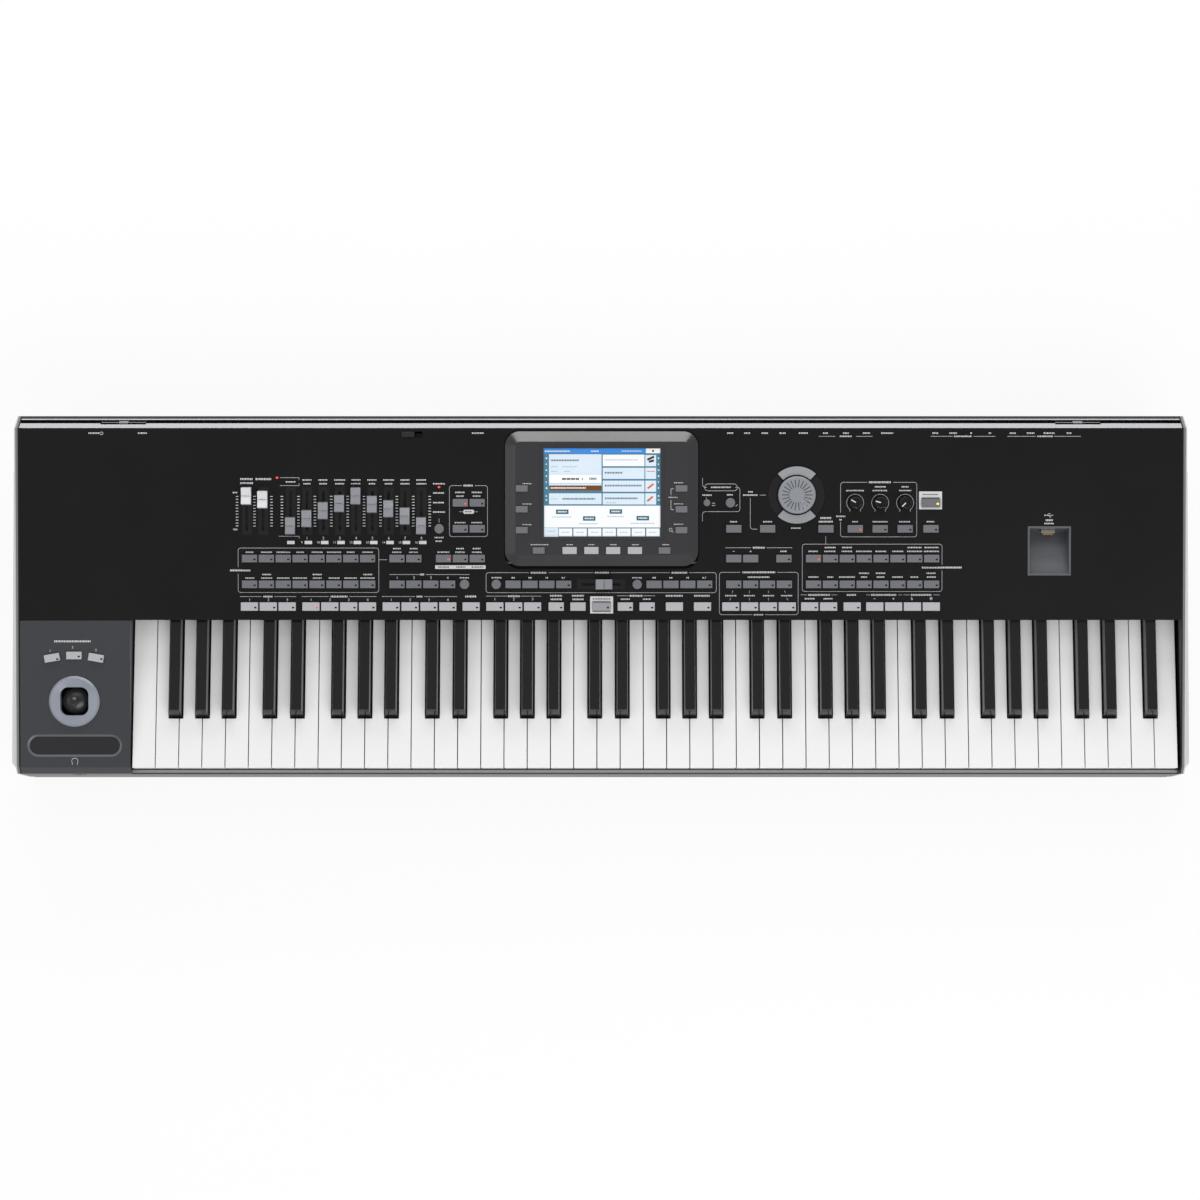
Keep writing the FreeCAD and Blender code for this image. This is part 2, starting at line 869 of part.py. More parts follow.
def make_case_screws():
    head = -S.screw_head_height
    points = [
        (0, head),
        (S.screw_head_radius, head),
        (S.screw_head_radius, 0),
        (S.screw_radius, 0),
        (S.screw_radius, S.screw_length),
        (0, S.screw_length),
    ]
    screw = turned("case_screw", points)
    copies = [copy_of(screw, x, y, S.foot_height) for x, y in cheek_screw_places() + bed_screw_places()]
    copies += [copy_of(screw, x, REAR_FACE, S.rear_screw_height, X_AXIS, 90) for x in rear_screw_places()]
    sub_part(group("screws", copies), "case_screws")


# White keys of an octave from the lowest E up: name and black neighbours on the left and right
WHITE_KEYS = (
    ("e", "d_sharp", None),
    ("f", None, "f_sharp"),
    ("g", "f_sharp", "g_sharp"),
    ("a", "g_sharp", "a_sharp"),
    ("b", "a_sharp", None),
    ("c", None, "c_sharp"),
    ("d", "c_sharp", "d_sharp"),
)
OCTAVE_STEPS = len(WHITE_KEYS)
KEY_ROOM = 2 * INSIDE - S.first_key_inset - S.last_key_gap
WHITE_COUNT = int(KEY_ROOM.value // S.key_pitch.value)


def octaves_from(step):
    """How many keys of this step of the octave the keyboard has room for."""
    return (WHITE_COUNT - 1 - step) // OCTAVE_STEPS + 1


def key_edge(step, octave):
    return KEYS_LEFT + (step + octave * OCTAVE_STEPS) * S.key_pitch


def black_offset(name):
    return getattr(S, f"{name}_offset")


def tail_edges(left_black, right_black):
    """The left and right side of a white key's tail, from its left boundary."""
    clear = S.black_width / 2 + S.key_gap
    left = S.key_gap / 2 if left_black is None else black_offset(left_black) + clear
    right = S.key_pitch - S.key_gap / 2
    if right_black is not None:
        right = S.key_pitch + black_offset(right_black) - clear
    return left, right


def pivot_groove(name, width):
    radius = S.bead_radius + S.bead_clearance
    return cylinder(name, (-S.key_pitch, S.pivot_setback, 0), radius, width + 2 * S.key_pitch, "x")


def white_key(name, left_black, right_black):
    side = S.key_gap / 2
    far_side = S.key_pitch - side
    left, right = tail_edges(left_black, right_black)
    points = [(side, 0), (far_side, 0)]
    if right_black is not None:
        points += [(far_side, S.white_head), (right, S.white_head)]
    points += [(right, S.white_length), (left, S.white_length)]
    if left_black is not None:
        points += [(left, S.white_head), (side, S.white_head)]
    body = slab(f"white_{name}", points, as_size(0), S.white_thickness)
    lip = [(side, 0), (far_side, 0), (far_side, S.white_lip_wall), (side, S.white_lip_wall)]
    pad(body, "XY_Plane", lip, S.white_lip, reverse=True)
    top = S.white_thickness.value
    round_edges(body, S.key_round, lambda b: b.ZMin > top - NEAR and b.YMax < NEAR)
    return cut(f"white_{name}_grooved", body, pivot_groove(f"groove_{name}", S.key_pitch))


def black_key():
    front = S.white_head + S.black_front_gap
    length = S.white_length - front
    stem = rectangle(S.black_width, length, as_size(0), front + length / 2)
    body = slab("black_key", stem, as_size(0), S.white_thickness)
    cap_far = S.white_head + S.black_cap_length
    outlines = (
        (S.black_width, front, S.white_thickness),
        (S.black_top_width, front + S.black_front_slope, S.white_thickness + S.black_height),
    )
    sketches = []
    for width, start, height in outlines:
        sketch = new_sketch(body, "XY_Plane", height)
        draw_outline(sketch, rectangle(width, cap_far - start, as_size(0), (cap_far + start) / 2))
        sketches.append(sketch)
    loft = body.newObject("PartDesign::AdditiveLoft", "black_cap")
    loft.Profile = sketches[0]
    loft.Sections = sketches[1:]
    return cut("black_key_grooved", body, pivot_groove("groove_black", S.key_pitch))


def make_keys():
    leaf_places = []
    last_step = (WHITE_COUNT - 1) % OCTAVE_STEPS
    for step, (name, left_black, right_black) in enumerate(WHITE_KEYS):
        octaves = octaves_from(step)
        usual = white_key(name, left_black, right_black)
        masters = [usual] * octaves
        if step == 0:
            masters[0] = white_key("lowest", None, right_black)
        if step == last_step:
            masters[-1] = white_key("highest", left_black, None)
        copies = [
            copy_of(master, key_edge(step, octave), KEY_FRONT, KEY_BOTTOM)
            for octave, master in enumerate(masters)
        ]
        sub_part(group(f"white_{name}_row", copies), f"keys_{name}")
        left, right = tail_edges(left_black, right_black)
        leaf_places += [key_edge(step, octave) + (left + right) / 2 for octave in range(octaves)]
    black = black_key()
    for step, (white, left_black, name) in enumerate(WHITE_KEYS, start=1):
        if name is None:
            continue
        middles = [key_edge(step, octave) + black_offset(name) for octave in range(octaves_from(step))]
        copies = [copy_of(black, x, KEY_FRONT, KEY_BOTTOM) for x in middles]
        sub_part(group(f"black_{name}_row", copies), f"keys_{name}")
        leaf_places += middles
    make_key_springs(leaf_places)


def make_key_springs(places):
    reach = S.leaf_reach + S.bed_tail_gap + S.bed_sheet
    leaf = slab("key_leaf", rectangle(S.leaf_width, reach), as_size(0), S.leaf_thickness)
    y = BED_REAR + S.bed_sheet - reach / 2
    z = S.white_top_height + S.leaf_gap
    sub_part(group("leaves", [copy_of(leaf, x, y, z) for x in places]), "key_springs")


def make_keybed_frame():
    left = KEYS_LEFT - S.bed_end_gap
    length = key_span() + 2 * S.bed_end_gap
    rear_top = S.white_top_height + S.leaf_gap
    wall = S.bed_sheet
    points = [
        (BED_FRONT, FLOOR_TOP),
        (BED_FRONT + wall + S.bed_flange, FLOOR_TOP),
        (BED_FRONT + wall + S.bed_flange, FLOOR_TOP + wall),
        (BED_FRONT + wall, FLOOR_TOP + wall),
        (BED_FRONT + wall, S.bed_deck_height),
        (BED_REAR, S.bed_deck_height),
        (BED_REAR, FLOOR_TOP),
        (BED_REAR + wall + S.bed_flange, FLOOR_TOP),
        (BED_REAR + wall + S.bed_flange, FLOOR_TOP + wall),
        (BED_REAR + wall, FLOOR_TOP + wall),
        (BED_REAR + wall, rear_top),
        (BED_REAR, rear_top),
        (BED_REAR, DECK_TOP),
        (BED_FRONT, DECK_TOP),
    ]
    channel = prism("bed_channel", points, left, length)
    bead = cylinder("pivot_bead", (left, PIVOT_Y, KEY_BOTTOM), S.bead_radius, length, "x")
    web = box("pivot_web", (left, PIVOT_Y - wall / 2, DECK_TOP), (length, wall, KEY_BOTTOM - DECK_TOP))
    stop_y = KEY_FRONT + S.stop_setback
    fall = S.key_dip * (S.pivot_setback - S.stop_setback) / S.pivot_setback
    stop_top = KEY_BOTTOM - fall - S.stop_gap
    stop = box("key_stop", (left, stop_y, DECK_TOP), (length, S.stop_width, stop_top - DECK_TOP))
    solid = fuse("bed_solid", [channel, bead, web, stop])
    low = FLOOR_TOP - S.cut_overrun
    deep = wall + 2 * S.cut_overrun
    holes = [screw_hole("bed_hole", (x, y, low), deep, "z") for x, y in bed_screw_places()]
    sub_part(cut("bed_drilled", solid, group("bed_holes", holes)), "keybed_frame")


# Buttons
def row(first, v, count=1, pitch=0):
    return [(first + index * pitch, v) for index in range(count)]


def button_table():
    """Every panel button: its node, its kind and its places."""
    dark, light = S.dark_pitch, S.light_pitch
    low, high = S.bank_lower_v, S.bank_upper_v
    control = [
        ("dark", row(S.pad_u, high, 2, dark) + row(S.memory_u, high, 3, dark)),
        ("dark", row(S.pad_u, low, 4, dark)),
        ("round", row(S.pad_u + 4 * dark, low)),
        ("dark", row(S.mode_u, S.top_row_v, 2, dark) + row(S.mode_u, S.mid_row_v, 2, dark)),
        ("round", row(S.slider_mode_u, S.mid_row_v)),
        ("round", row(S.player_left_u, low) + row(S.player_right_u, low)),
        ("dark", row(S.player_left_u + dark, low, 4, dark) + row(S.player_right_u + dark, low, 4, dark)),
        ("dark", row(S.menu_u, S.mid_row_v, 2, S.menu_pitch) + row(S.style_change_u, S.mid_row_v)),
        ("dark", row(S.menu_u, high, 2, dark) + row(S.tempo_lock_u, high)),
        ("dark", row(S.menu_u, low, 4, dark)),
        ("dark", row(S.voice_u, S.mid_row_v, 3, S.voice_pitch) + row(S.help_u, S.mid_row_v)),
        ("standby", row(S.help_u, S.top_row_v)),
        ("small_round", row(S.unlock_u, S.top_row_v)),
        ("round", row(S.lift_u, S.top_row_v)),
    ]
    light_groups = [
        (S.intro_u, 3), (S.variation_u, 4), (S.fill_u, 4), (S.break_u, 1), (S.ending_u, 3),
        (S.book_u, 1), (S.ensemble_u, 1), (S.track_u, 4), (S.scan_u, 2), (S.split_u, 1),
        (S.octave_u, 2), (S.transpose_u, 2),
    ]
    v = S.light_row_v
    arranger = [("light", row(first, v, count, light)) for first, count in light_groups]
    arranger += [("short", row(S.fade_u, v, 2, S.short_pitch) + row(S.sync_u, v, 2, S.short_pitch))]
    arranger += [("start", row(S.start_u, v))]
    return {
        "style_buttons": [("dark", row(S.style_bank_u, level, 8, dark)) for level in (low, high)],
        "sound_buttons": [("dark", row(S.sound_bank_u, level, 8, dark)) for level in (low, high)],
        "control_buttons": control,
        "arranger_buttons": arranger,
    }


def button_outlines():
    return {
        "dark": (S.dark_width, S.dark_depth),
        "light": (S.light_width, S.light_depth),
        "short": (S.dark_width, S.light_depth),
        "start": (S.start_width, S.light_depth),
        "standby": (S.standby_width, S.light_depth),
        "side": (S.side_key_width, S.side_key_depth),
        "setting": (S.setting_key_width, S.setting_key_depth),
    }


def make_button_masters():
    """One cap and one hole cutter for each kind of button, centred on the panel's face."""
    masters = {}
    low = -BUTTON_LOW
    tall = BUTTON_LOW + S.button_height
    through = S.panel_sheet + 2 * S.cut_overrun
    hole_low = -S.panel_sheet - S.cut_overrun
    for kind, (width, depth) in button_outlines().items():
        cap = slab(f"{kind}_button", rectangle(width, depth), low, tall)
        top = S.button_height.value
        round_edges(cap, S.button_round, lambda bounds: bounds.ZMin > top - NEAR)
        wide = 2 * S.button_flange
        pad(cap, "XY_Plane", rectangle(width + wide, depth + wide), S.button_flange_height, low)
        open_by = 2 * S.button_gap
        hole = slab(f"{kind}_hole", rectangle(width + open_by, depth + open_by), hole_low, through)
        masters[kind] = (cap, hole)
    for kind, radius in (("round", S.round_radius), ("small_round", S.small_round_radius)):
        edge = radius + S.button_flange
        flange_top = low + S.button_flange_height
        points = [
            (0, low), (edge, low), (edge, flange_top), (radius, flange_top),
            (radius, S.button_height - S.button_round), (radius - S.button_round, S.button_height),
            (0, S.button_height),
        ]
        cap = turned(f"{kind}_button", points)
        rim = radius + S.button_gap
        section = [(0, hole_low), (rim, hole_low), (rim, S.cut_overrun), (0, S.cut_overrun)]
        hole = turned(f"{kind}_hole", section)
        masters[kind] = (cap, hole)
    return masters


def make_panel_buttons(masters):
    """Makes the button nodes and returns the panel's hole cutters and the places of the switches."""
    holes, places = [], []
    for node, rows in button_table().items():
        caps = []
        for kind, spots in rows:
            cap, hole = masters[kind]
            caps += [copy_of(cap, u, v) for u, v in spots]
            holes += [copy_of(hole, u, v) for u, v in spots]
            places += spots
        sub_part(on_panel(group(f"{node}_caps", caps)), node)
    arcs = value_arcs("value_button", S.arc_inner, S.arc_outer, -BUTTON_LOW, S.button_height)
    sub_part(on_panel(group("value_button_caps", arcs)), "value_buttons")
    gap = S.button_gap
    low = -S.panel_sheet - S.cut_overrun
    holes += value_arcs("value_hole", S.arc_inner - gap, S.arc_outer + gap, low, S.cut_overrun)
    middle = (S.arc_inner + S.arc_outer) / 2
    places += [(S.dial_u, S.dial_v + side * middle) for side in (-1, 1)]
    return holes, places


def value_arcs(name, inner, outer, low, high):
    """The up and down buttons: two sectors of a ring about the dial."""
    arcs = []
    for middle in (90, -90):
        sector = doc.addObject("Part::Cylinder", f"{name}_sector")
        bind(sector, "Radius", outer)
        bind(sector, "Height", high - low)
        bind(sector, "Angle", S.arc_angle)
        place(sector, S.dial_u, S.dial_v, low, Z_AXIS, middle - S.arc_angle / 2)
        core = cylinder(f"{name}_core", (S.dial_u, S.dial_v, low), inner, high - low)
        arcs.append(cut(name, sector, core))
    return arcs


# Panel
def slider_columns():
    steps = [S.slider_first_u + index * S.slider_pitch for index in range(len(SLIDER_REST_SHARES) - 2)]
    return [S.master_u, S.balance_u] + steps


def make_sliders():
    half = S.cap_length / 2
    top_half = S.cap_top_length / 2
    top = S.cap_lift + S.cap_height
    dip = top - S.cap_dip
    ridge = S.cap_ridge
    points = [
        (-half, S.cap_lift), (half, S.cap_lift), (top_half, top), (ridge, dip),
        (0, dip + ridge), (-ridge, dip), (-top_half, top),
    ]
    cap = new_body("slider_cap")
    face = pad(cap, "YZ_Plane", points, S.cap_width)
    face.Midplane = True
    lever = rectangle(S.lever_width, S.lever_length)
    pad(cap, "XY_Plane", lever, LEVER_LOW + S.cap_lift, -LEVER_LOW)
    for number, (u, share) in enumerate(zip(slider_columns(), SLIDER_REST_SHARES), start=1):
        v = S.slider_v + (share - 0.5) * S.slider_travel
        sub_part(on_panel(group(f"slider_{number}", [copy_of(cap, u, v)])), f"slider_{number:02d}")
    turned_cap = copy_of(cap, S.crossfader_u + S.crossfader_rest, S.bank_lower_v, 0, Z_AXIS, 90)
    sub_part(on_panel(group("crossfader_cap", [turned_cap])), "crossfader")


def slot_cutters():
    """The shallow trough and the through slot of each slider and of the crossfader."""
    trough_size = (S.cap_width + 2 * S.recess_gap, S.cap_length + S.slider_travel + 2 * S.recess_gap)
    slot_size = (S.lever_width + 2 * S.slot_gap, S.lever_length + S.slider_travel + 2 * S.slot_gap)
    deep = S.recess_depth + S.cut_overrun
    trough = slab("slider_trough", rectangle(*trough_size), -S.recess_depth, deep)
    low = -S.panel_sheet - S.cut_overrun
    slot = slab("slider_slot", rectangle(*slot_size), low, S.panel_sheet + 2 * S.cut_overrun)
    troughs = [copy_of(trough, u, S.slider_v) for u in slider_columns()]
    slots = [copy_of(slot, u, S.slider_v) for u in slider_columns()]
    troughs.append(copy_of(trough, S.crossfader_u, S.bank_lower_v, 0, Z_AXIS, 90))
    slots.append(copy_of(slot, S.crossfader_u, S.bank_lower_v, 0, Z_AXIS, 90))
    return troughs, slots


def panel_post_places():
    rear = S.panel_length - S.panel_board_rear_gap - 2 * S.post_radius
    front = S.panel_board_front + S.panel_board_rear_gap
    far = S.panel_board_half_width - 2 * S.post_radius
    columns = (-far, -S.post_inner_u, S.post_inner_u, far)
    return [(u, rear) for u in columns] + [(-far, front), (far, front)]


def make_top_panel(button_holes):
    sheet = S.panel_sheet
    upright_rear = S.panel_length - sheet * tangent(S.panel_slope)
    section = [
        (0, 0), (0, -S.panel_lip), (sheet, -S.panel_lip), (sheet, -sheet),
        (upright_rear, -sheet), (S.panel_length, 0),
    ]
    plate = prism("panel_plate", section, -INSIDE, 2 * INSIDE)
    posts = [
        cylinder("panel_post", (u, v, BOARD_TOP), S.post_radius, S.panel_board_depth)
        for u, v in panel_post_places()
    ]
    tray_low = S.display_sunk + S.tray_gap
    tray_width = S.display_width + 2 * S.display_gap
    tray_length = S.display_length + S.display_gap + S.display_front_gap
    tray_v = S.display_front_v - S.display_front_gap + tray_length / 2
    wall = 2 * S.tray_wall
    shell_low = tray_low + S.tray_wall
    outer = rounded_slab(
        "tray_shell", tray_width + wall, tray_length + wall, -shell_low, shell_low,
        S.display_corner + S.tray_wall, S.display_u, tray_v,
    )
    inner = rounded_slab(
        "tray_hollow", tray_width, tray_length, -tray_low, tray_low + S.cut_overrun,
        S.display_corner, S.display_u, tray_v,
    )
    pin_length = tray_width + wall
    pin_hole = cylinder(
        "tray_pin_hole", (S.display_u - pin_length / 2, HINGE_V, HINGE_W),
        S.hinge_pin_radius + S.hinge_clearance, pin_length, "x",
    )
    troughs, slots = slot_cutters()
    ring = cylinder(
        "dial_recess", (S.dial_u, S.dial_v, -S.recess_depth),
        S.arc_outer + S.button_gap, S.recess_depth + S.cut_overrun,
    )
    through_low = -sheet - S.cut_overrun
    through = sheet + 2 * S.cut_overrun
    shafts = [(S.dial_u, S.dial_v)] + knob_places()
    bore = S.shaft_radius + S.shaft_gap
    shaft_holes = [cylinder("shaft_hole", (u, v, through_low), bore, through) for u, v in shafts]
    rim = S.well_wall + S.well_gap
    well = box(
        "well_cutout", (well_left() - rim, S.well_v - rim, through_low),
        (S.well_width + 2 * rim, S.well_length + 2 * rim, through),
    )
    gap = S.latch_gap
    latch_slot = box(
        "latch_slot", (latch_left() - gap, LATCH_V - S.latch_width / 2 - gap, through_low),
        (S.latch_length + S.latch_travel + 2 * gap, S.latch_width + 2 * gap, through),
    )
    solid = fuse("panel_solid", [plate, outer] + posts)
    shallow = cut("panel_sunk", solid, group("panel_recesses", troughs + [ring, inner]))
    holes = button_holes + slots + shaft_holes + [well, latch_slot, pin_hole]
    sub_part(on_panel(cut("panel_pierced", shallow, group("panel_holes", holes))), "top_panel")


# Dial and knobs
def knob_places():
    return row(S.knob_u, S.top_row_v, 3, S.knob_pitch)


def make_dial_and_knobs():
    shaft = S.shaft_radius
    top = S.dial_lift + S.dial_height
    rim = S.dial_radius
    points = [
        (0, -LEVER_LOW), (shaft, -LEVER_LOW), (shaft, S.dial_lift), (rim, S.dial_lift),
        (rim, top - S.dial_round), (rim - S.dial_round, top), (0, top),
    ]
    dial = turned("dial_body", points)
    ball = doc.addObject("Part::Sphere", "dimple")
    bind(ball, "Radius", S.dimple_ball)
    place(ball, S.dimple_u, S.dimple_v, top + S.dimple_ball - S.dimple_depth)
    dial_cut = cut("dial_with_dimple", dial, ball)
    sub_part(on_panel(group("dial", [copy_of(dial_cut, S.dial_u, S.dial_v)])), "value_dial")

    top = S.dial_lift + S.knob_height
    points = [
        (0, -LEVER_LOW), (shaft, -LEVER_LOW), (shaft, S.dial_lift), (S.knob_radius, S.dial_lift),
        (S.knob_top_radius, top), (0, top),
    ]
    knob = turned("knob_body", points)
    pointer = box(
        "knob_pointer", (-S.pointer_width / 2, S.pointer_width, top - S.pointer_depth),
        (S.pointer_width, S.knob_radius, S.pointer_depth + S.cut_overrun),
    )
    marked = cut("knob_marked", knob, pointer)
    names = ("mic_volume_knob", "harmony_knob", "reverb_knob")
    for name, (u, v), turn in zip(names, knob_places(), KNOB_REST_TURNS):
        sub_part(on_panel(group(f"{name}_set", [copy_of(marked, u, v, 0, Z_AXIS, turn)])), name)


# Display
def display_key_places():
    side_rows = [S.side_key_v + index * S.side_key_pitch for index in range(3)]
    sides = [(S.display_u + side * S.side_key_u, v) for side in (-1, 1) for v in side_rows]
    lower = [(S.display_u + side * S.lower_key_u, S.lower_key_v) for side in (-1, 1)]
    settings = row(S.display_u + S.setting_key_u, S.lower_key_v, 4, S.setting_key_pitch)
    return [("side", sides + lower), ("setting", settings)]


def make_display(masters):
    low = -S.display_sunk
    face = S.display_height
    middle_v = S.display_front_v + S.display_length / 2
    body = rounded_slab(
        "display_body", S.display_width, S.display_length, low, face - low,
        S.display_corner, S.display_u, middle_v,
    )
    doc.recompute()
    base = body.Tip
    bevel = body.newObject("PartDesign::Chamfer", "display_bevel_cut")
    bevel.Base = (base, edge_names(base, lambda bounds: bounds.ZMin > face.value - NEAR))
    bevel.ChamferType = "Two distances"
    bind(bevel, "Size", face - S.display_side)
    bind(bevel, "Size2", S.display_bevel)
    bottom = low.value
    round_edges(body, S.hinge_radius, lambda bounds: bounds.ZMax < bottom + NEAR)
    inset = S.display_corner
    pin_length = S.display_gap + S.tray_wall + inset
    reach = S.display_width / 2 - inset
    starts = [(S.display_u + side, HINGE_V, HINGE_W) for side in (reach, -reach - pin_length)]
    pins = [cylinder("display_pin", start, S.hinge_pin_radius, pin_length, "x") for start in starts]
    window = S.screen_width, S.screen_length
    spot = S.screen_u, S.screen_v
    border = 2 * S.bezel_border
    step = slab(
        "bezel_step_cut", rectangle(window[0] + border, window[1] + border, *spot),
        face - S.bezel_step, S.bezel_step + S.cut_overrun,
    )
    glass_level = face - S.bezel_thickness
    aperture = slab("screen_aperture", rectangle(*window, *spot), glass_level, S.bezel_thickness)
    edge = 2 * S.module_border
    gap = 2 * S.module_gap
    pocket = slab(
        "module_pocket", rectangle(window[0] + edge + gap, window[1] + edge + gap, *spot),
        low - S.cut_overrun, glass_level - low + S.cut_overrun,
    )
    module = slab(
        "screen_module", rectangle(window[0] + edge, window[1] + edge, *spot),
        low + S.module_gap, glass_level - low - 2 * S.module_gap,
    )
    holes, cavities, caps = [], [], []
    cavity_top = S.panel_sheet
    cavity_deep = BUTTON_LOW - S.panel_sheet + S.key_cavity_depth
    wide = 2 * (S.button_flange + S.button_gap)
    for kind, spots in display_key_places():
        width, depth = button_outlines()[kind]
        cavity = slab(
            f"{kind}_cavity", rectangle(width + wide, depth + wide), -cavity_top - cavity_deep, cavity_deep,
        )
        cap, hole = masters[kind]
        caps += [copy_of(cap, u, v, face) for u, v in spots]
        holes += [copy_of(hole, u, v, face) for u, v in spots]
        cavities += [copy_of(cavity, u, v, face) for u, v in spots]
    solid = fuse("display_with_pins", [body] + pins)
    opened = cut("display_opened", solid, group("display_openings", [step, pocket] + cavities))
    pierced = cut("display_pierced", opened, group("display_holes", [aperture] + holes))
    sub_part(on_panel(pierced), "display_housing")
    sub_part(on_panel(module), "display_screen")
    sub_part(on_panel(group("display_caps", caps)), "display_buttons")


# USB well and speaker latch
def well_left():
    return S.well_u - S.well_width / 2


def latch_left():
    return S.latch_u - (S.latch_length + S.latch_travel) / 2


def well_rear_y():
    return PANEL_FRONT_Y + (S.well_v + S.well_length) * cosine(S.panel_slope)


def well_socket_z():
    return PANEL_FRONT_Z + (S.well_v + S.well_length) * sine(S.panel_slope) - S.well_socket_drop


def make_usb_well():
    """A sloping well with an upright rear wall, which has a window for the socket behind it."""
    wall = S.well_wall
    front = S.well_v
    rear = S.well_v + S.well_length
    lean = tangent(S.panel_slope)
    deep = S.well_rear_depth
    shell = prism(
        "well_shell",
        [
            (front - wall, 0), (front - wall, -S.well_front_depth - wall),
            (rear + wall - (deep + wall) * lean, -deep - wall), (rear + wall, 0),
        ],
        well_left() - wall, S.well_width + 2 * wall,
    )
    hollow = prism(
        "well_hollow",
        [
            (front, S.cut_overrun), (front, -S.well_front_depth),
            (rear - deep * lean, -deep), (rear + S.cut_overrun * lean, S.cut_overrun),
        ],
        well_left(), S.well_width,
    )
    opened = on_panel(cut("well_opened", shell, hollow))
    width, height, depth, hole = usb_socket()
    window = socket_window(S.well_u, well_socket_z(), width, height, well_rear_y(), wall)
    sub_part(cut("well_with_window", opened, window), "usb_well")


def make_speaker_latch():
    low = -BUTTON_LOW
    spot = latch_left() + S.latch_length / 2, LATCH_V
    tall = BUTTON_LOW + S.latch_height
    latch = slab("latch_body", rectangle(S.latch_length, S.latch_width, *spot), low, tall)
    wide = 2 * S.button_flange
    pad(
        latch, "XY_Plane", rectangle(S.latch_length + wide, S.latch_width + wide, *spot),
        S.button_flange_height, low,
    )
    sub_part(on_panel(latch), "speaker_latch")


# Joystick block
def assign_places():
    drop = S.assign_v - S.assign_outer_drop
    return [
        (JOYSTICK_U - S.assign_pitch, drop, S.assign_turn),
        (JOYSTICK_U, S.assign_v, as_size(0)),
        (JOYSTICK_U + S.assign_pitch, drop, -S.assign_turn),
    ]


def stadium(name, length, width, low, height, v):
    """A bar with full round ends, centred on the joystick's column."""
    return rounded_slab(name, length, width, low, height, width * 0.499, JOYSTICK_U, v)


def make_joystick_block(masters):
    sheet = S.panel_sheet
    near = (FRONT - PANEL_FRONT_Y) / cosine(S.panel_slope) - S.block_chamfer * tangent(S.panel_slope)
    near_low = near - (S.block_depth - S.block_chamfer) * tangent(S.panel_slope)
    far = -S.block_gap
    shell = prism(
        "block_shell",
        [
            (near_low, -S.block_depth), (far, -S.block_depth), (far, 0),
            (near + S.block_chamfer, 0), (near, -S.block_chamfer),
        ],
        -INSIDE, S.block_width,
    )
    wall = S.block_wall
    hollow = prism(
        "block_hollow",
        [
            (near + wall, -S.block_depth - S.cut_overrun), (far - wall, -S.block_depth - S.cut_overrun),
            (far - wall, -sheet), (near + S.block_chamfer + wall / 2, -sheet),
            (near + wall, -S.block_chamfer - wall / 2),
        ],
        wall - INSIDE, S.block_width - 2 * wall,
    )
    side = box(
        "block_side", (BLOCK_RIGHT - wall, near + S.block_wall_front, -S.block_wall_depth),
        (wall, far - near - S.block_wall_front, S.block_wall_depth),
    )
    collar_hole = cylinder(
        "collar_hole", (JOYSTICK_U, S.joystick_v, -sheet - S.cut_overrun),
        S.spigot_radius + S.button_gap, sheet + 2 * S.cut_overrun,
    )
    border = 2 * S.ribbon_border
    recess = stadium(
        "ribbon_recess_cut", S.ribbon_length + border, S.ribbon_width + border,
        -S.ribbon_recess, S.ribbon_recess + S.cut_overrun, S.ribbon_v,
    )
    cap, hole = masters["dark"]
    holes = [copy_of(hole, u, v, 0, Z_AXIS, turn) for u, v, turn in assign_places()]
    caps = [copy_of(cap, u, v, 0, Z_AXIS, turn) for u, v, turn in assign_places()]
    opened = cut("block_opened", shell, hollow)
    solid = fuse("block_solid", [opened, side])
    pierced = cut("block_pierced", solid, group("block_cutters", holes + [collar_hole, recess]))
    sub_part(on_panel(pierced), "joystick_panel")
    sub_part(on_panel(group("assign_caps", caps)), "assignable_switches")
    strip = stadium(
        "ribbon", S.ribbon_length, S.ribbon_width, -S.ribbon_recess, S.ribbon_thickness, S.ribbon_v,
    )
    sub_part(on_panel(strip), "ribbon_strip")


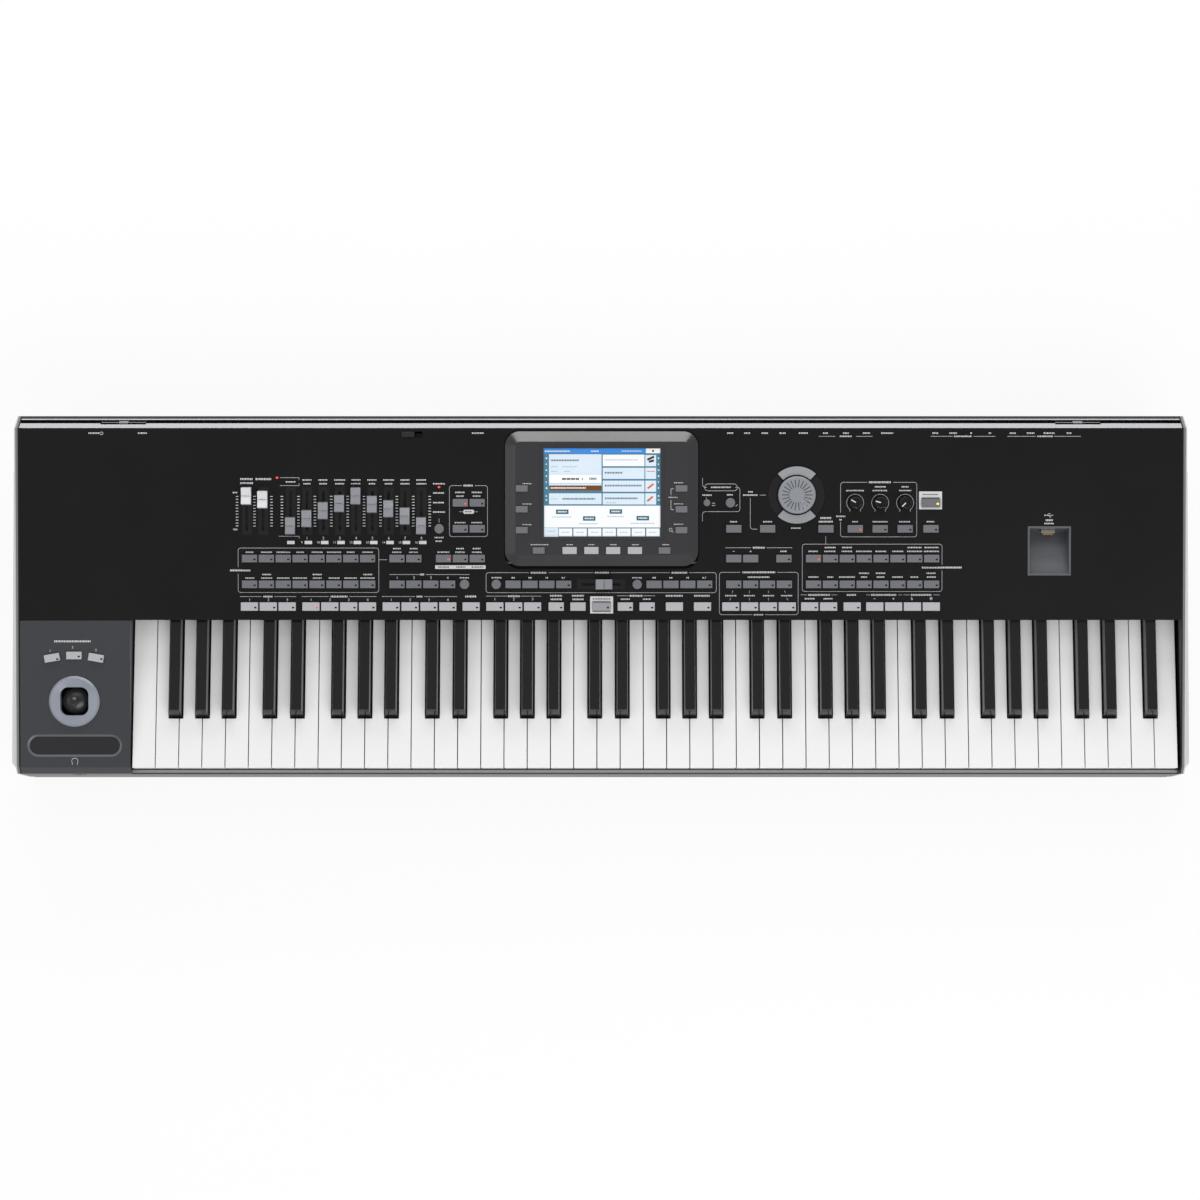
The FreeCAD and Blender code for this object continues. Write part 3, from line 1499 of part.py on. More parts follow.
def make_joystick():
    center = JOYSTICK_U, S.joystick_v
    axis_w = -S.stick_pivot_depth
    ring = turned(
        "collar_ring",
        [
            (0, -S.spigot_depth), (S.spigot_radius, -S.spigot_depth), (S.spigot_radius, 0),
            (S.collar_radius, 0), (S.collar_radius, S.collar_height - S.collar_slope),
            (S.collar_radius - S.collar_slope, S.collar_height), (0, S.collar_height),
        ],
    )
    opening = rounded_slab(
        "collar_opening", 2 * S.opening_half, 2 * S.opening_half, -S.spigot_depth - S.cut_overrun,
        S.spigot_depth + S.collar_height + 2 * S.cut_overrun, S.opening_corner,
    )
    ear_low = axis_w - S.ear_tail
    ears = [
        box(
            "collar_ear", (start, -S.ear_half_width, ear_low),
            (S.ear_thickness, 2 * S.ear_half_width, S.stick_pivot_depth + S.ear_tail - S.spigot_depth / 2),
        )
        for start in (S.ear_inner, -S.ear_inner - S.ear_thickness)
    ]
    ear_far = S.ear_inner + S.ear_thickness + S.cut_overrun
    pin_hole = cylinder(
        "ear_hole", (-ear_far, 0, axis_w), S.gimbal_pin_radius + S.gimbal_pin_clearance, 2 * ear_far, "x",
    )
    open_ring = cut("collar_open", ring, opening)
    collar = cut("collar_drilled", fuse("collar_with_ears", [open_ring] + ears), pin_hole)
    sub_part(on_panel(group("collar", [copy_of(collar, *center)])), "joystick_collar")

    half = S.gimbal_height / 2
    hoop = turned(
        "gimbal_hoop",
        [
            (S.gimbal_inner, axis_w - half), (S.gimbal_outer, axis_w - half),
            (S.gimbal_outer, axis_w + half), (S.gimbal_inner, axis_w + half),
        ],
    )
    root = (S.gimbal_inner + S.gimbal_outer) / 2
    pin_length = S.gimbal_pin_length + S.gimbal_outer - root
    pins = [
        cylinder("gimbal_pin", (start, 0, axis_w), S.gimbal_pin_radius, pin_length, "x")
        for start in (root, -root - pin_length)
    ]
    cross = cylinder(
        "gimbal_cross_hole", (0, -S.gimbal_outer - S.cut_overrun, axis_w),
        S.gimbal_pin_radius + S.gimbal_pin_clearance, 2 * (S.gimbal_outer + S.cut_overrun), "y",
    )
    gimbal = cut("gimbal_drilled", fuse("gimbal_with_pins", [hoop] + pins), cross)
    sub_part(on_panel(group("gimbal", [copy_of(gimbal, *center)])), "joystick_gimbal")

    ball = doc.addObject("Part::Sphere", "stick_ball")
    bind(ball, "Radius", S.stick_ball)
    place(ball, 0, 0, axis_w)
    crown = S.stick_radius / 2
    shaft = turned(
        "stick_shaft",
        [
            (0, axis_w), (S.stick_neck, axis_w), (S.stick_neck, 0),
            (S.stick_radius, S.stick_tip - S.stick_radius), (S.stick_radius, S.stick_tip - crown),
            (S.stick_radius - crown, S.stick_tip), (0, S.stick_tip),
        ],
    )
    pin_start = (0, -S.gimbal_outer, axis_w)
    stick_pins = cylinder("stick_pins", pin_start, S.gimbal_pin_radius, 2 * S.gimbal_outer, "y")
    stick = fuse("stick", [ball, shaft, stick_pins])
    sub_part(on_panel(group("stick_set", [copy_of(stick, *center)])), "joystick_stick")


# Boards, pots and power supply
def main_board_corners():
    margin = S.main_board_margin
    rear = REAR_INNER - S.main_board_rear_gap - margin
    front = rear - S.main_board_depth + 2 * margin
    left = S.main_board_left + margin
    span = S.main_board_width - 2 * margin
    return [(left + share * span, y) for share in (0, 0.5, 1) for y in (front, rear)]


def make_circuit_boards():
    front = S.panel_board_front
    length = S.panel_length - S.panel_board_rear_gap - front
    panel_board = on_panel(
        slab(
            "panel_board",
            rectangle(2 * S.panel_board_half_width, length, as_size(0), front + length / 2),
            BOARD_TOP - S.board_sheet, S.board_sheet,
        )
    )
    contact = box(
        "contact_board", (KEYS_LEFT, KEY_FRONT + S.contact_board_setback, DECK_TOP),
        (key_span(), S.contact_board_depth, S.board_sheet),
    )
    main = box(
        "main_board",
        (
            S.main_board_left,
            REAR_INNER - S.main_board_rear_gap - S.main_board_depth,
            FLOOR_TOP + S.main_board_lift,
        ),
        (S.main_board_width, S.main_board_depth, S.board_sheet),
    )
    sub_part(group("boards", [panel_board, contact, main]), "circuit_boards")


def make_power_supply():
    supply = box(
        "supply_box",
        (S.supply_inset - INSIDE, REAR_INNER - S.supply_rear_gap - S.supply_depth, FLOOR_TOP),
        (S.supply_width, S.supply_depth, S.supply_height),
    )
    sub_part(supply, "power_supply")


def make_control_pots(switch_places):
    """Slide pots, rotary pots and push switches, standing on the panel board."""
    pot_top = -LEVER_LOW - S.switch_gap
    tall = pot_top - BOARD_TOP
    pot = slab("slide_pot", rectangle(S.pot_width, S.slider_travel + 2 * S.pot_overlap), BOARD_TOP, tall)
    pieces = [copy_of(pot, u, S.slider_v) for u in slider_columns()]
    pieces.append(copy_of(pot, S.crossfader_u, S.bank_lower_v, 0, Z_AXIS, 90))
    encoder = slab("encoder", rectangle(S.encoder_size, S.encoder_size), BOARD_TOP, tall)
    pieces += [copy_of(encoder, u, v) for u, v in [(S.dial_u, S.dial_v)] + knob_places()]
    switch = slab("push_switch", rectangle(S.switch_size, S.switch_size), BOARD_TOP, tall)
    pieces += [copy_of(switch, u, v) for u, v in switch_places]
    sub_part(on_panel(group("pots", pieces)), "control_pots")


# Rear connectors
def socket_window(x, z, width, height, start, depth):
    gap = S.socket_gap
    return box(
        "socket_window",
        (x - width / 2 - gap, start - S.cut_overrun, z - height / 2 - gap),
        (width + 2 * gap, depth + 2 * S.cut_overrun, height + 2 * gap),
    )


def jack_socket():
    return S.jack_width, S.jack_width, S.jack_depth, ("bore", S.jack_radius, S.jack_bore)


def usb_socket():
    wall = 2 * S.usb_wall
    slot = ("slot", S.usb_width, S.usb_height, S.usb_depth)
    return S.usb_width + wall, S.usb_height + wall, S.din_depth, slot


def rear_sockets():
    """Each rear connector: place, block width and height, block depth, and its bore or slot."""
    jack = jack_socket()
    din = (S.din_width, S.din_width, S.din_depth, ("bore", S.din_radius, S.din_bore))
    coax = (S.coax_width, S.coax_width, S.din_depth, ("bore", S.coax_radius, S.din_bore))
    combo = (S.combo_width, S.combo_width, S.jack_depth, ("bore", S.combo_radius, S.combo_bore))
    device = (
        S.device_width, S.device_width, S.din_depth,
        ("slot", S.device_slot_width, S.device_slot_height, S.device_slot_depth),
    )
    inlet = (
        S.inlet_width, S.inlet_height, S.jack_depth,
        ("slot", S.inlet_slot_width, S.inlet_slot_height, S.inlet_slot_depth),
    )
    table = [(S.inlet_inset - INSIDE, inlet), (S.video_u, coax)]
    table += [(INSIDE - S.usb_host_inset, usb_socket()), (INSIDE - S.usb_device_inset, device)]
    table += [(INSIDE - S.pedal_inset + index * S.pedal_pitch, jack) for index in range(2)]
    table += [(INSIDE - S.foot_control_inset, din)]
    table += [(INSIDE - S.midi_inset + index * S.midi_pitch, din) for index in range(3)]
    table += [(INSIDE - S.digital_inset, coax)]
    table += [(INSIDE - S.output_inset + index * S.output_pitch, jack) for index in range(4)]
    table += [(INSIDE - S.input_inset + index * S.input_pitch, jack) for index in range(2)]
    table += [(INSIDE - S.mic_inset, combo)]
    return table


def socket_block(x, z, face, outward, width, height, depth, hole):
    """One connector block, with its mouth on the face that looks along +Y or -Y."""
    start = face if outward < 0 else face - depth
    block = box("socket_block", (x - width / 2, start, z - height / 2), (width, depth, height))
    reach = hole[-1]
    mouth = face - S.cut_overrun if outward < 0 else face - reach
    if hole[0] == "bore":
        tool = cylinder("socket_bore", (x, mouth, z), hole[1], reach + S.cut_overrun, "y")
    else:
        corner = (x - hole[1] / 2, mouth, z - hole[2] / 2)
        tool = box("socket_slot", corner, (hole[1], reach + S.cut_overrun, hole[2]))
    return cut("socket", block, tool)


def make_rear_panel_and_sockets():
    face = REAR_FACE + S.socket_proud
    z = S.socket_height
    plate_size = (2 * INSIDE, S.rear_sheet, RAIL_BOTTOM - FLOOR_TOP)
    plate = box("rear_plate", (-INSIDE, REAR_INNER, FLOOR_TOP), plate_size)
    windows = [
        socket_window(x, z, width, height, REAR_INNER, S.rear_sheet)
        for x, (width, height, depth, hole) in rear_sockets()
    ]
    windows.append(
        socket_window(POWER_U, z, S.rocker_frame_width, S.rocker_frame_height, REAR_INNER, S.rear_sheet)
    )
    start = REAR_INNER - S.cut_overrun
    through = S.rear_sheet + 2 * S.cut_overrun
    holes = [
        screw_hole("rear_hole", (x, start, S.rear_screw_height), through, "y") for x in rear_screw_places()
    ]
    sub_part(cut("rear_pierced", plate, group("rear_cutters", windows + holes)), "rear_panel")

    blocks = [socket_block(x, z, face, 1, *kind) for x, kind in rear_sockets()]
    blocks.append(make_rocker_frame(face))
    jack_z = S.foot_height + S.slip_height - S.headphone_drop
    blocks.append(socket_block(JOYSTICK_U, jack_z, FRONT, -1, *jack_socket()))
    blocks.append(socket_block(S.well_u, well_socket_z(), well_rear_y(), -1, *usb_socket()))
    sub_part(group("sockets", blocks), "connectors")


def make_rocker_frame(face):
    width, height, wall = S.rocker_frame_width, S.rocker_frame_height, S.rocker_frame_wall
    start = face - S.rocker_frame_depth
    z = S.socket_height
    left = POWER_U - width / 2
    low = z - height / 2
    frame = box("rocker_frame", (left, start, low), (width, S.rocker_frame_depth, height))
    opening = box(
        "rocker_opening", (left + wall, start - S.cut_overrun, low + wall),
        (width - 2 * wall, S.rocker_frame_depth + 2 * S.cut_overrun, height - 2 * wall),
    )
    hole = cylinder(
        "rocker_hole", (POWER_U, face - S.rocker_depth, z - height / 2 - S.cut_overrun),
        S.rocker_pin_radius + S.rocker_pin_clearance, height + 2 * S.cut_overrun,
    )
    return cut("rocker_frame_drilled", cut("rocker_frame_open", frame, opening), hole)


def make_power_switch():
    """A rocker whose pivot runs up and down, modelled at its tilted rest."""
    half = S.rocker_frame_width / 2 - S.rocker_frame_wall - S.rocker_gap
    tall = S.rocker_frame_height - 2 * (S.rocker_frame_wall + S.rocker_gap)
    deep = S.rocker_depth / 2
    brow = deep + S.rocker_dent
    section = [(-half, -deep), (half, -deep), (half, brow), (0, deep), (-half, brow)]
    rocker = slab("rocker_cap", section, -tall / 2, tall)
    reach = tall / 2 + S.rocker_gap + S.rocker_pin_length
    pin = cylinder("rocker_pin", (0, 0, -reach), S.rocker_pin_radius, 2 * reach)
    solid = fuse("rocker", [rocker, pin])
    pivot_y = REAR_FACE + S.socket_proud - S.rocker_depth
    set_rocker = copy_of(solid, POWER_U, pivot_y, S.socket_height, Z_AXIS, S.rocker_rest)
    sub_part(group("rocker_set", [set_rocker]), "power_switch")


def write_parts():
    doc.recompute()
    for item in doc.Objects:
        if "Invalid" in item.State or "Error" in item.State:
            raise RuntimeError(f"{item.Label} failed: {item.State}")
    for item in parts:
        if item.Shape.isNull() or not item.Shape.isValid():
            raise RuntimeError(f"{item.Label} has no valid shape")
    os.makedirs("parts", exist_ok=True)
    for item in parts:
        item.Shape.exportStep(os.path.join("parts", f"{item.Label}.step"))
    print(len(parts), "sub-parts,", sum(len(item.Shape.Solids) for item in parts), "solids")


make_bottom_case()
make_end_cheeks()
make_rear_rail()
make_key_slip()
make_rubber_feet()
make_case_screws()
make_keybed_frame()
make_keys()
button_masters = make_button_masters()
panel_holes, switch_spots = make_panel_buttons(button_masters)
make_top_panel(panel_holes)
make_sliders()
make_dial_and_knobs()
make_display(button_masters)
make_usb_well()
make_speaker_latch()
make_joystick_block(button_masters)
make_joystick()
make_circuit_boards()
make_power_supply()
make_control_pots(switch_spots)
make_rear_panel_and_sockets()
make_power_switch()
write_parts()
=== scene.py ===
# %% [markdown]
# # An arranger keyboard, dressed
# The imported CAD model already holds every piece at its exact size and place, in metres.
# This lesson loads it, rounds the edges that catch light, gives each surface a procedural
# finish, prints the panel, lights the screen, and sets up floor, lamps and camera.

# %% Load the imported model
import json
import math

import bmesh
import bpy
from mathutils import Matrix, Vector


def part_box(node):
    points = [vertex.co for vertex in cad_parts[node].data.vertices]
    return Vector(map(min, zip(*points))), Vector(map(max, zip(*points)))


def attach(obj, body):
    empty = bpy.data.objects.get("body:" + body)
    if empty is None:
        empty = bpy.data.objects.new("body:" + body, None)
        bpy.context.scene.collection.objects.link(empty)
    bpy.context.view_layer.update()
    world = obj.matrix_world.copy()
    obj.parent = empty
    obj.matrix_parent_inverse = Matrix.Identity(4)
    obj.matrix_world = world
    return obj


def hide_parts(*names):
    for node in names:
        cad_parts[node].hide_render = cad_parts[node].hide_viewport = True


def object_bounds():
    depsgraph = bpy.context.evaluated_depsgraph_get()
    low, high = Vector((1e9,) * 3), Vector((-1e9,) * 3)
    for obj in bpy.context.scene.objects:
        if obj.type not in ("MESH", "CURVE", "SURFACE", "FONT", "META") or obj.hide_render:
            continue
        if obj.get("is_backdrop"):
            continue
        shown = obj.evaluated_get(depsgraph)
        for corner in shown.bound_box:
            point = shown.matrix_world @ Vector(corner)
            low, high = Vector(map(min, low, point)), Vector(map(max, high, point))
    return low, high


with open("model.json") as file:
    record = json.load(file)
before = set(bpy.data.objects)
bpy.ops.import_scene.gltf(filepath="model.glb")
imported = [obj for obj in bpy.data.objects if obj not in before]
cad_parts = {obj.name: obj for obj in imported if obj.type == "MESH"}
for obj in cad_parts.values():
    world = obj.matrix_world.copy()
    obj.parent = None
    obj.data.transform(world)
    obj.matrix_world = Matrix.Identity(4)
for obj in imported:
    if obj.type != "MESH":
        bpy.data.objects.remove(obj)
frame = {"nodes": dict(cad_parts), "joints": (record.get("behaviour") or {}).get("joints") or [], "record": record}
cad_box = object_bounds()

MM = 0.001
nodes = frame["nodes"]
record = frame["record"]
body_of = {node: body for body, group in record["behaviour"]["bodies"].items() for node in group}
slot_of = {part["node"]: part["material_slot"] for part in record["subparts"]}

# %% [markdown]
# ## The sloped panel's own frame
# Nearly everything on this instrument sits on one sloped sheet. The sliders run straight up that
# slope, so their joint axis gives its angle, and the sheet's box gives its front edge. With a
# matrix from panel millimetres to the world, a mark is placed by its distance along the panel.

# %% Panel frame
joint_named = {joint["name"]: joint for joint in frame["joints"]}
up_slope = Vector(joint_named["slider_01_travel"]["axis"])
slope = math.atan2(up_slope.z, up_slope.y)
panel_low, panel_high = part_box("top_panel")
panel_length = (panel_high.y - panel_low.y) / math.cos(slope)
panel_origin = Vector((0, panel_low.y, panel_high.z - panel_length * math.sin(slope)))
panel = Matrix.Translation(panel_origin) @ Matrix.Rotation(slope, 4, "X") @ Matrix.Scale(MM, 4)
to_panel = panel.inverted()
print("panel slope", round(math.degrees(slope), 2), "length", round(panel_length / MM, 2), "mm")

# %% [markdown]
# ## Hand tools
# Operators act on whatever is selected, so each step first takes hold of one piece alone. Each
# finished piece rides on a body, so that it moves with the joint it belongs to.


# %% Selecting and joining
def let_go():
    if bpy.context.mode != "OBJECT":
        bpy.ops.object.mode_set(mode="OBJECT")
    bpy.ops.object.select_all(action="DESELECT")


def take(piece):
    let_go()
    piece.select_set(True)
    bpy.context.view_layer.objects.active = piece


def edit(piece):
    take(piece)
    bpy.ops.object.mode_set(mode="EDIT")
    bpy.ops.mesh.select_all(action="SELECT")


def dress(piece, name, body, finish):
    piece.name = name
    piece.data.name = name
    piece.data.materials.clear()
    piece.data.materials.append(finish)
    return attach(piece, body)


def join(pieces):
    take(pieces[0])
    for piece in pieces[1:]:
        piece.select_set(True)
    if len(pieces) > 1:
        bpy.ops.object.join()
    return bpy.context.object


def stamp(master, places):
    """Copies a modelled master to each place and joins the copies into one mesh."""
    copies = []
    for place in places:
        copy = bpy.data.objects.new(master.name, master.data.copy())
        copy.data.transform(place)
        bpy.context.collection.objects.link(copy)
        copies.append(copy)
    bpy.data.objects.remove(master)
    return join(copies[::-1])


def flat_sheet(width, depth):
    """A rectangle on the panel plane, left in edit mode with all of it selected."""
    let_go()
    bpy.ops.mesh.primitive_plane_add(size=1)
    sheet = bpy.context.object
    sheet.scale = (width, depth, 1)
    bpy.ops.object.transform_apply(location=False, rotation=False)
    edit(sheet)
    return sheet


def raised(sheet, thickness, even_normals=False):
    """Pulls the selected faces up by the thickness, then leaves edit mode."""
    bpy.ops.mesh.extrude_region_move(TRANSFORM_OT_translate={"value": (0, 0, thickness)})
    if even_normals:
        bpy.ops.mesh.normals_make_consistent(inside=False)
    bpy.ops.object.mode_set(mode="OBJECT")
    return sheet


def on_panel(u, v, w=0.0, turn=0.0):
    return panel @ Matrix.Translation((u, v, w)) @ Matrix.Rotation(turn, 4, "Z")


# %% [markdown]
# ## Moulded skins
# Painted sheet, plastic and rubber all have a fine grain, a slow change of shade, and smudges that
# change the gloss. One node group gives all three, and every finish sets its own scale and strength.


# %% The moulded skin group
NUMBER, COLOUR = "NodeSocketFloat", "NodeSocketColor"
MID_GREY = (0.5, 0.5, 0.5, 1)


def shader_group(name, inputs):
    """A node group that gives colour, roughness and height, with the sockets at both its ends."""
    group = bpy.data.node_groups.new(name, "ShaderNodeTree")
    for title, kind, value in inputs:
        group.interface.new_socket(title, in_out="INPUT", socket_type=kind).default_value = value
    for title, kind in (("Colour", COLOUR), ("Roughness", NUMBER), ("Height", NUMBER)):
        group.interface.new_socket(title, in_out="OUTPUT", socket_type=kind)
    return group, group.nodes.new("NodeGroupInput").outputs, group.nodes.new("NodeGroupOutput").inputs


def add(tree, kind, inputs=None, **settings):
    """Adds a shader node. An input that is given a socket is linked, and any other value is set."""
    node = tree.nodes.new("ShaderNode" + kind)
    for name, value in settings.items():
        setattr(node, name, value)
    for key, value in (inputs or {}).items():
        if isinstance(value, bpy.types.NodeSocket):
            tree.links.new(value, node.inputs[key])
        else:
            node.inputs[key].default_value = value
    return node


def sums(tree, operation, *values):
    return add(tree, "Math", dict(enumerate(values)), operation=operation).outputs[0]


def vary(group, given, made, shading, shade, drift, smudge, height):
    """Varies the colour by one noise and the roughness by another, and passes the height on."""
    lift = sums(group, "MULTIPLY_ADD", shading, given[shade], 1.0)
    tint = add(group, "HueSaturation", {"Color": given["Colour"], "Value": lift}).outputs["Color"]
    gloss = sums(group, "MULTIPLY_ADD", drift, given[smudge], given["Roughness"])
    for title, socket in (("Colour", tint), ("Roughness", gloss), ("Height", height)):
        group.links.new(socket, made[title])


skin_group, given, made = shader_group("moulded_skin", [
    ("Colour", COLOUR, MID_GREY), ("Grain Scale", NUMBER, 900.0), ("Shade", NUMBER, 0.1),
    ("Roughness", NUMBER, 0.5), ("Smudge", NUMBER, 0.1)])
spot = add(skin_group, "TexCoord").outputs["Object"]
fine_noise = {"Vector": spot, "Scale": given["Grain Scale"], "Detail": 4.0}
slow_noise = {"Vector": spot, "Scale": 11.0, "Detail": 5.0, "Roughness": 0.6}
grain = add(skin_group, "TexNoise", fine_noise).outputs["Fac"]
cloud = add(skin_group, "TexNoise", slow_noise).outputs["Fac"]
speckle = sums(skin_group, "SUBTRACT", grain, 0.5)
drift = sums(skin_group, "SUBTRACT", cloud, 0.5)
vary(skin_group, given, made, sums(skin_group, "ADD", speckle, drift), "Shade", drift, "Smudge", grain)
print("made", skin_group.name)


# %% A finish from the skin group
def tone(*levels):
    """A colour written as 0 to 255 levels, in the linear values that shaders use."""
    return tuple(((level / 255 + 0.055) / 1.055) ** 2.4 for level in levels) + (1.0,)


def new_finish(name, group, values, relief, strength):
    """A material fed by a skin group, with a bump of the given height in millimetres."""
    finish = bpy.data.materials.new(name)
    finish.use_nodes = True
    tree = finish.node_tree
    shader = tree.nodes["Principled BSDF"]
    skin = add(tree, "Group", values, node_tree=group).outputs
    bump = add(tree, "Bump", {"Height": skin["Height"], "Distance": relief * MM, "Strength": strength})
    for title, socket in (("Base Color", skin["Colour"]), ("Roughness", skin["Roughness"]),
                          ("Normal", bump.outputs["Normal"])):
        tree.links.new(socket, shader.inputs[title])
    return finish, shader.inputs


def moulded(name, colour, roughness, grain=900.0, shade=0.12, smudge=0.12, relief=0.02, specular=0.5):
    values = {"Colour": colour, "Grain Scale": grain, "Shade": shade, "Roughness": roughness,
              "Smudge": smudge}
    finish, inputs = new_finish(name, skin_group, values, relief, 0.6)
    inputs["Specular IOR Level"].default_value = specular
    return finish


panel_paint = moulded("panel_paint", tone(15, 15, 17), 0.42, 1500, 0.3, 0.15, 0.03, 0.2)
block_plastic = moulded("block_plastic", tone(51, 52, 57), 0.4, 1300, 0.14, 0.1, 0.03)
slip_plastic = moulded("slip_plastic", tone(92, 93, 97), 0.4, 900, 0.1, 0.1, 0.02)
housing_plastic = moulded("housing_plastic", tone(33, 33, 37), 0.24, 1200, 0.1, 0.1, 0.01, 0.9)
well_plastic = moulded("well_plastic", tone(88, 90, 95), 0.36, 1200, 0.1, 0.1, 0.02)
white_key_plastic = moulded("white_key_plastic", tone(236, 235, 235), 0.24, 400, 0.03, 0.12, 0.004)
black_key_plastic = moulded("black_key_plastic", tone(14, 14, 15), 0.17, 1400, 0.2, 0.1, 0.004)
dark_cap = moulded("dark_cap", tone(106, 108, 113), 0.42, 1500, 0.1, 0.12, 0.012)
light_cap = moulded("light_cap", tone(176, 176, 180), 0.42, 1500, 0.08, 0.12, 0.012)
start_cap = moulded("start_cap", tone(150, 151, 155), 0.42, 1500, 0.08, 0.12, 0.012)
dial_plastic = moulded("dial_plastic", tone(138, 141, 146), 0.38, 1500, 0.1, 0.12, 0.012)
knob_rubber = moulded("knob_rubber", tone(30, 30, 32), 0.3, 1300, 0.2, 0.15, 0.015)
gloss_black = moulded("gloss_black", tone(14, 14, 15), 0.14, 700, 0.2, 0.1, 0.003)
dark_moulding = moulded("dark_moulding", tone(22, 22, 24), 0.5, 1200, 0.2, 0.12, 0.02)
pad_film = moulded("pad_film", tone(28, 28, 32), 0.3, 1800, 0.12, 0.1, 0.006)
collar_plastic = moulded("collar_plastic", tone(140, 145, 157), 0.34, 1400, 0.1, 0.12, 0.012)
foot_rubber = moulded("foot_rubber", tone(28, 28, 29), 0.8, 700, 0.25, 0.1, 0.05)
board_lacquer = moulded("board_lacquer", tone(24, 74, 48), 0.4, 300, 0.25, 0.1, 0.01)
print_white = moulded("print_white", tone(208, 208, 208), 0.55, 2500, 0.06, 0.1, 0.002)
fine_ink = moulded("fine_ink", tone(176, 176, 178), 0.55, 2500, 0.06, 0.1, 0.002)
boot_rubber = moulded("boot_rubber", tone(34, 34, 36), 0.28, 900, 0.2, 0.1, 0.004)
# A darker grey for the walls of the dial's grooves: painted shade.
groove_shade_grey = moulded("groove_shade_grey", tone(84, 86, 90), 0.5, 1500, 0.1, 0.12, 0.012)
lamp_window = moulded("lamp_window", tone(20, 14, 14), 0.2, 1500, 0.2, 0.1, 0.002)
print(len(bpy.data.materials), "materials so far")

# %% [markdown]
# ## Drawn and brushed metal
# The rail, the slider caps and the end cheeks are metal or metal paint. Drawing and brushing leave
# long streaks, so this second group stretches its noise along the instrument before it reads it.

# %% The drawn metal group
metal_group, given, made = shader_group("drawn_metal", [
    ("Colour", COLOUR, MID_GREY), ("Streak", NUMBER, 0.1), ("Roughness", NUMBER, 0.3)])
spot = add(metal_group, "TexCoord").outputs["Object"]
long_spot = add(metal_group, "Mapping", {"Vector": spot, "Scale": (9.0, 900.0, 900.0)}).outputs[0]
streaks = add(metal_group, "TexNoise", {"Vector": long_spot, "Scale": 1.0, "Detail": 3.0}).outputs["Fac"]
drift = sums(metal_group, "SUBTRACT", streaks, 0.5)
vary(metal_group, given, made, drift, "Streak", drift, "Streak", streaks)


def drawn(name, colour, roughness, metallic, streak=0.2):
    values = {"Colour": colour, "Streak": streak, "Roughness": roughness}
    finish, inputs = new_finish(name, metal_group, values, 0.005, 0.4)
    inputs["Metallic"].default_value = metallic
    return finish


cheek_silver = drawn("cheek_silver", tone(176, 178, 182), 0.34, 0.35, 0.08)
slider_silver = drawn("slider_silver", tone(150, 152, 158), 0.3, 0.45, 0.12)
slider_white = drawn("slider_white", tone(222, 223, 226), 0.32, 0.1, 0.06)
nickel = drawn("nickel", tone(176, 174, 168), 0.25, 1.0, 0.12)
gold_plate = drawn("gold_plate", tone(190, 160, 96), 0.25, 1.0, 0.12)
case_steel = drawn("case_steel", tone(40, 40, 42), 0.5, 0.2, 0.2)
bare_steel = drawn("bare_steel", tone(150, 150, 152), 0.35, 0.9, 0.15)
print(len(bpy.data.materials), "materials with the metals")

# %% [markdown]
# ## The rear rail's bands
# From the photograph the rail reads as bands down its slanted face: a pale strip beside the panel, the black
# groove, a thin pale line, and a black lower part. The two pale bands are painted highlights, and the black bands
# are the rail's dark colour. A colour ramp along the direction down the slant paints them on Object coordinates,
# so they stay put on the extrusion.


# %% Banded rail finish with painted highlights
def band_colours(tree, along, low, high, bands):
    """Colours in sharp bands, each from its own share of the way between low and high."""
    share = add(tree, "MapRange", {"Value": along, "From Min": low, "From Max": high})
    ramp = add(tree, "ValToRGB", {"Fac": share.outputs["Result"]})
    ramp.color_ramp.interpolation = "CONSTANT"
    stops = ramp.color_ramp.elements
    stops[1].position = bands[1][0]
    for index, (place, colour) in enumerate(bands):
        stop = stops[index] if index < 2 else stops.new(place)
        stop.color = colour
    return ramp.outputs["Color"]


rail_top = Vector((0, panel_high.y, panel_high.z))
slant_length = (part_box("rear_rail")[1].y - rail_top.y) * math.sqrt(2)
down_slant = (0, math.sqrt(0.5), -math.sqrt(0.5))
start = rail_top.dot(Vector(down_slant))
dark = tone(17, 17, 18)
# The dark stops are the rail's own colour; the two pale stops are painted highlights.
bands = [(0.0, dark), (0.49, tone(186, 187, 190)), (0.7, dark), (0.842, tone(190, 191, 194)),
         (0.885, dark)]
rail_highlight_bands = bpy.data.materials.new("rail_highlight_bands")
rail_highlight_bands.use_nodes = True
tree = rail_highlight_bands.node_tree
shader = tree.nodes["Principled BSDF"].inputs
spot = add(tree, "TexCoord").outputs["Object"]
along = add(tree, "VectorMath", {0: spot, 1: down_slant}, operation="DOT_PRODUCT").outputs["Value"]
colours = band_colours(tree, along, start - slant_length, start + slant_length, bands)
skin = add(tree, "Group", {"Colour": colours, "Streak": 0.1, "Roughness": 0.32}, node_tree=metal_group)
tree.links.new(skin.outputs["Colour"], shader["Base Color"])
tree.links.new(skin.outputs["Roughness"], shader["Roughness"])
shader["Metallic"].default_value = 0.25
print("rail slant", round(slant_length / MM, 1), "mm in", len(bands), "bands")

# %% [markdown]
# ## Bands of painted light and shade on the end cheeks and the key slip
# Each cheek is painted with a dark band beside the panel, which is painted shade in the seam. Then comes a grey
# inner face, and then a bright outer face, which is a painted highlight on its bulge. The slip is painted pale
# along its top edge, a painted highlight, and dark below it, painted shade on its front face. The distance along
# one axis picks the band.


# %% Banded finishes
def skin_of(tree):
    return next(node for node in tree.nodes if node.type == "GROUP")


def banded(name, base, axis, low, high, bands):
    finish = base.copy()
    finish.name = name
    tree = finish.node_tree
    spot = add(tree, "TexCoord").outputs["Object"]
    along = add(tree, "SeparateXYZ", {"Vector": spot}).outputs[axis]
    colours = band_colours(tree, sums(tree, "ABSOLUTE", along), low, high, bands)
    tree.links.new(colours, skin_of(tree).inputs["Colour"])
    return finish


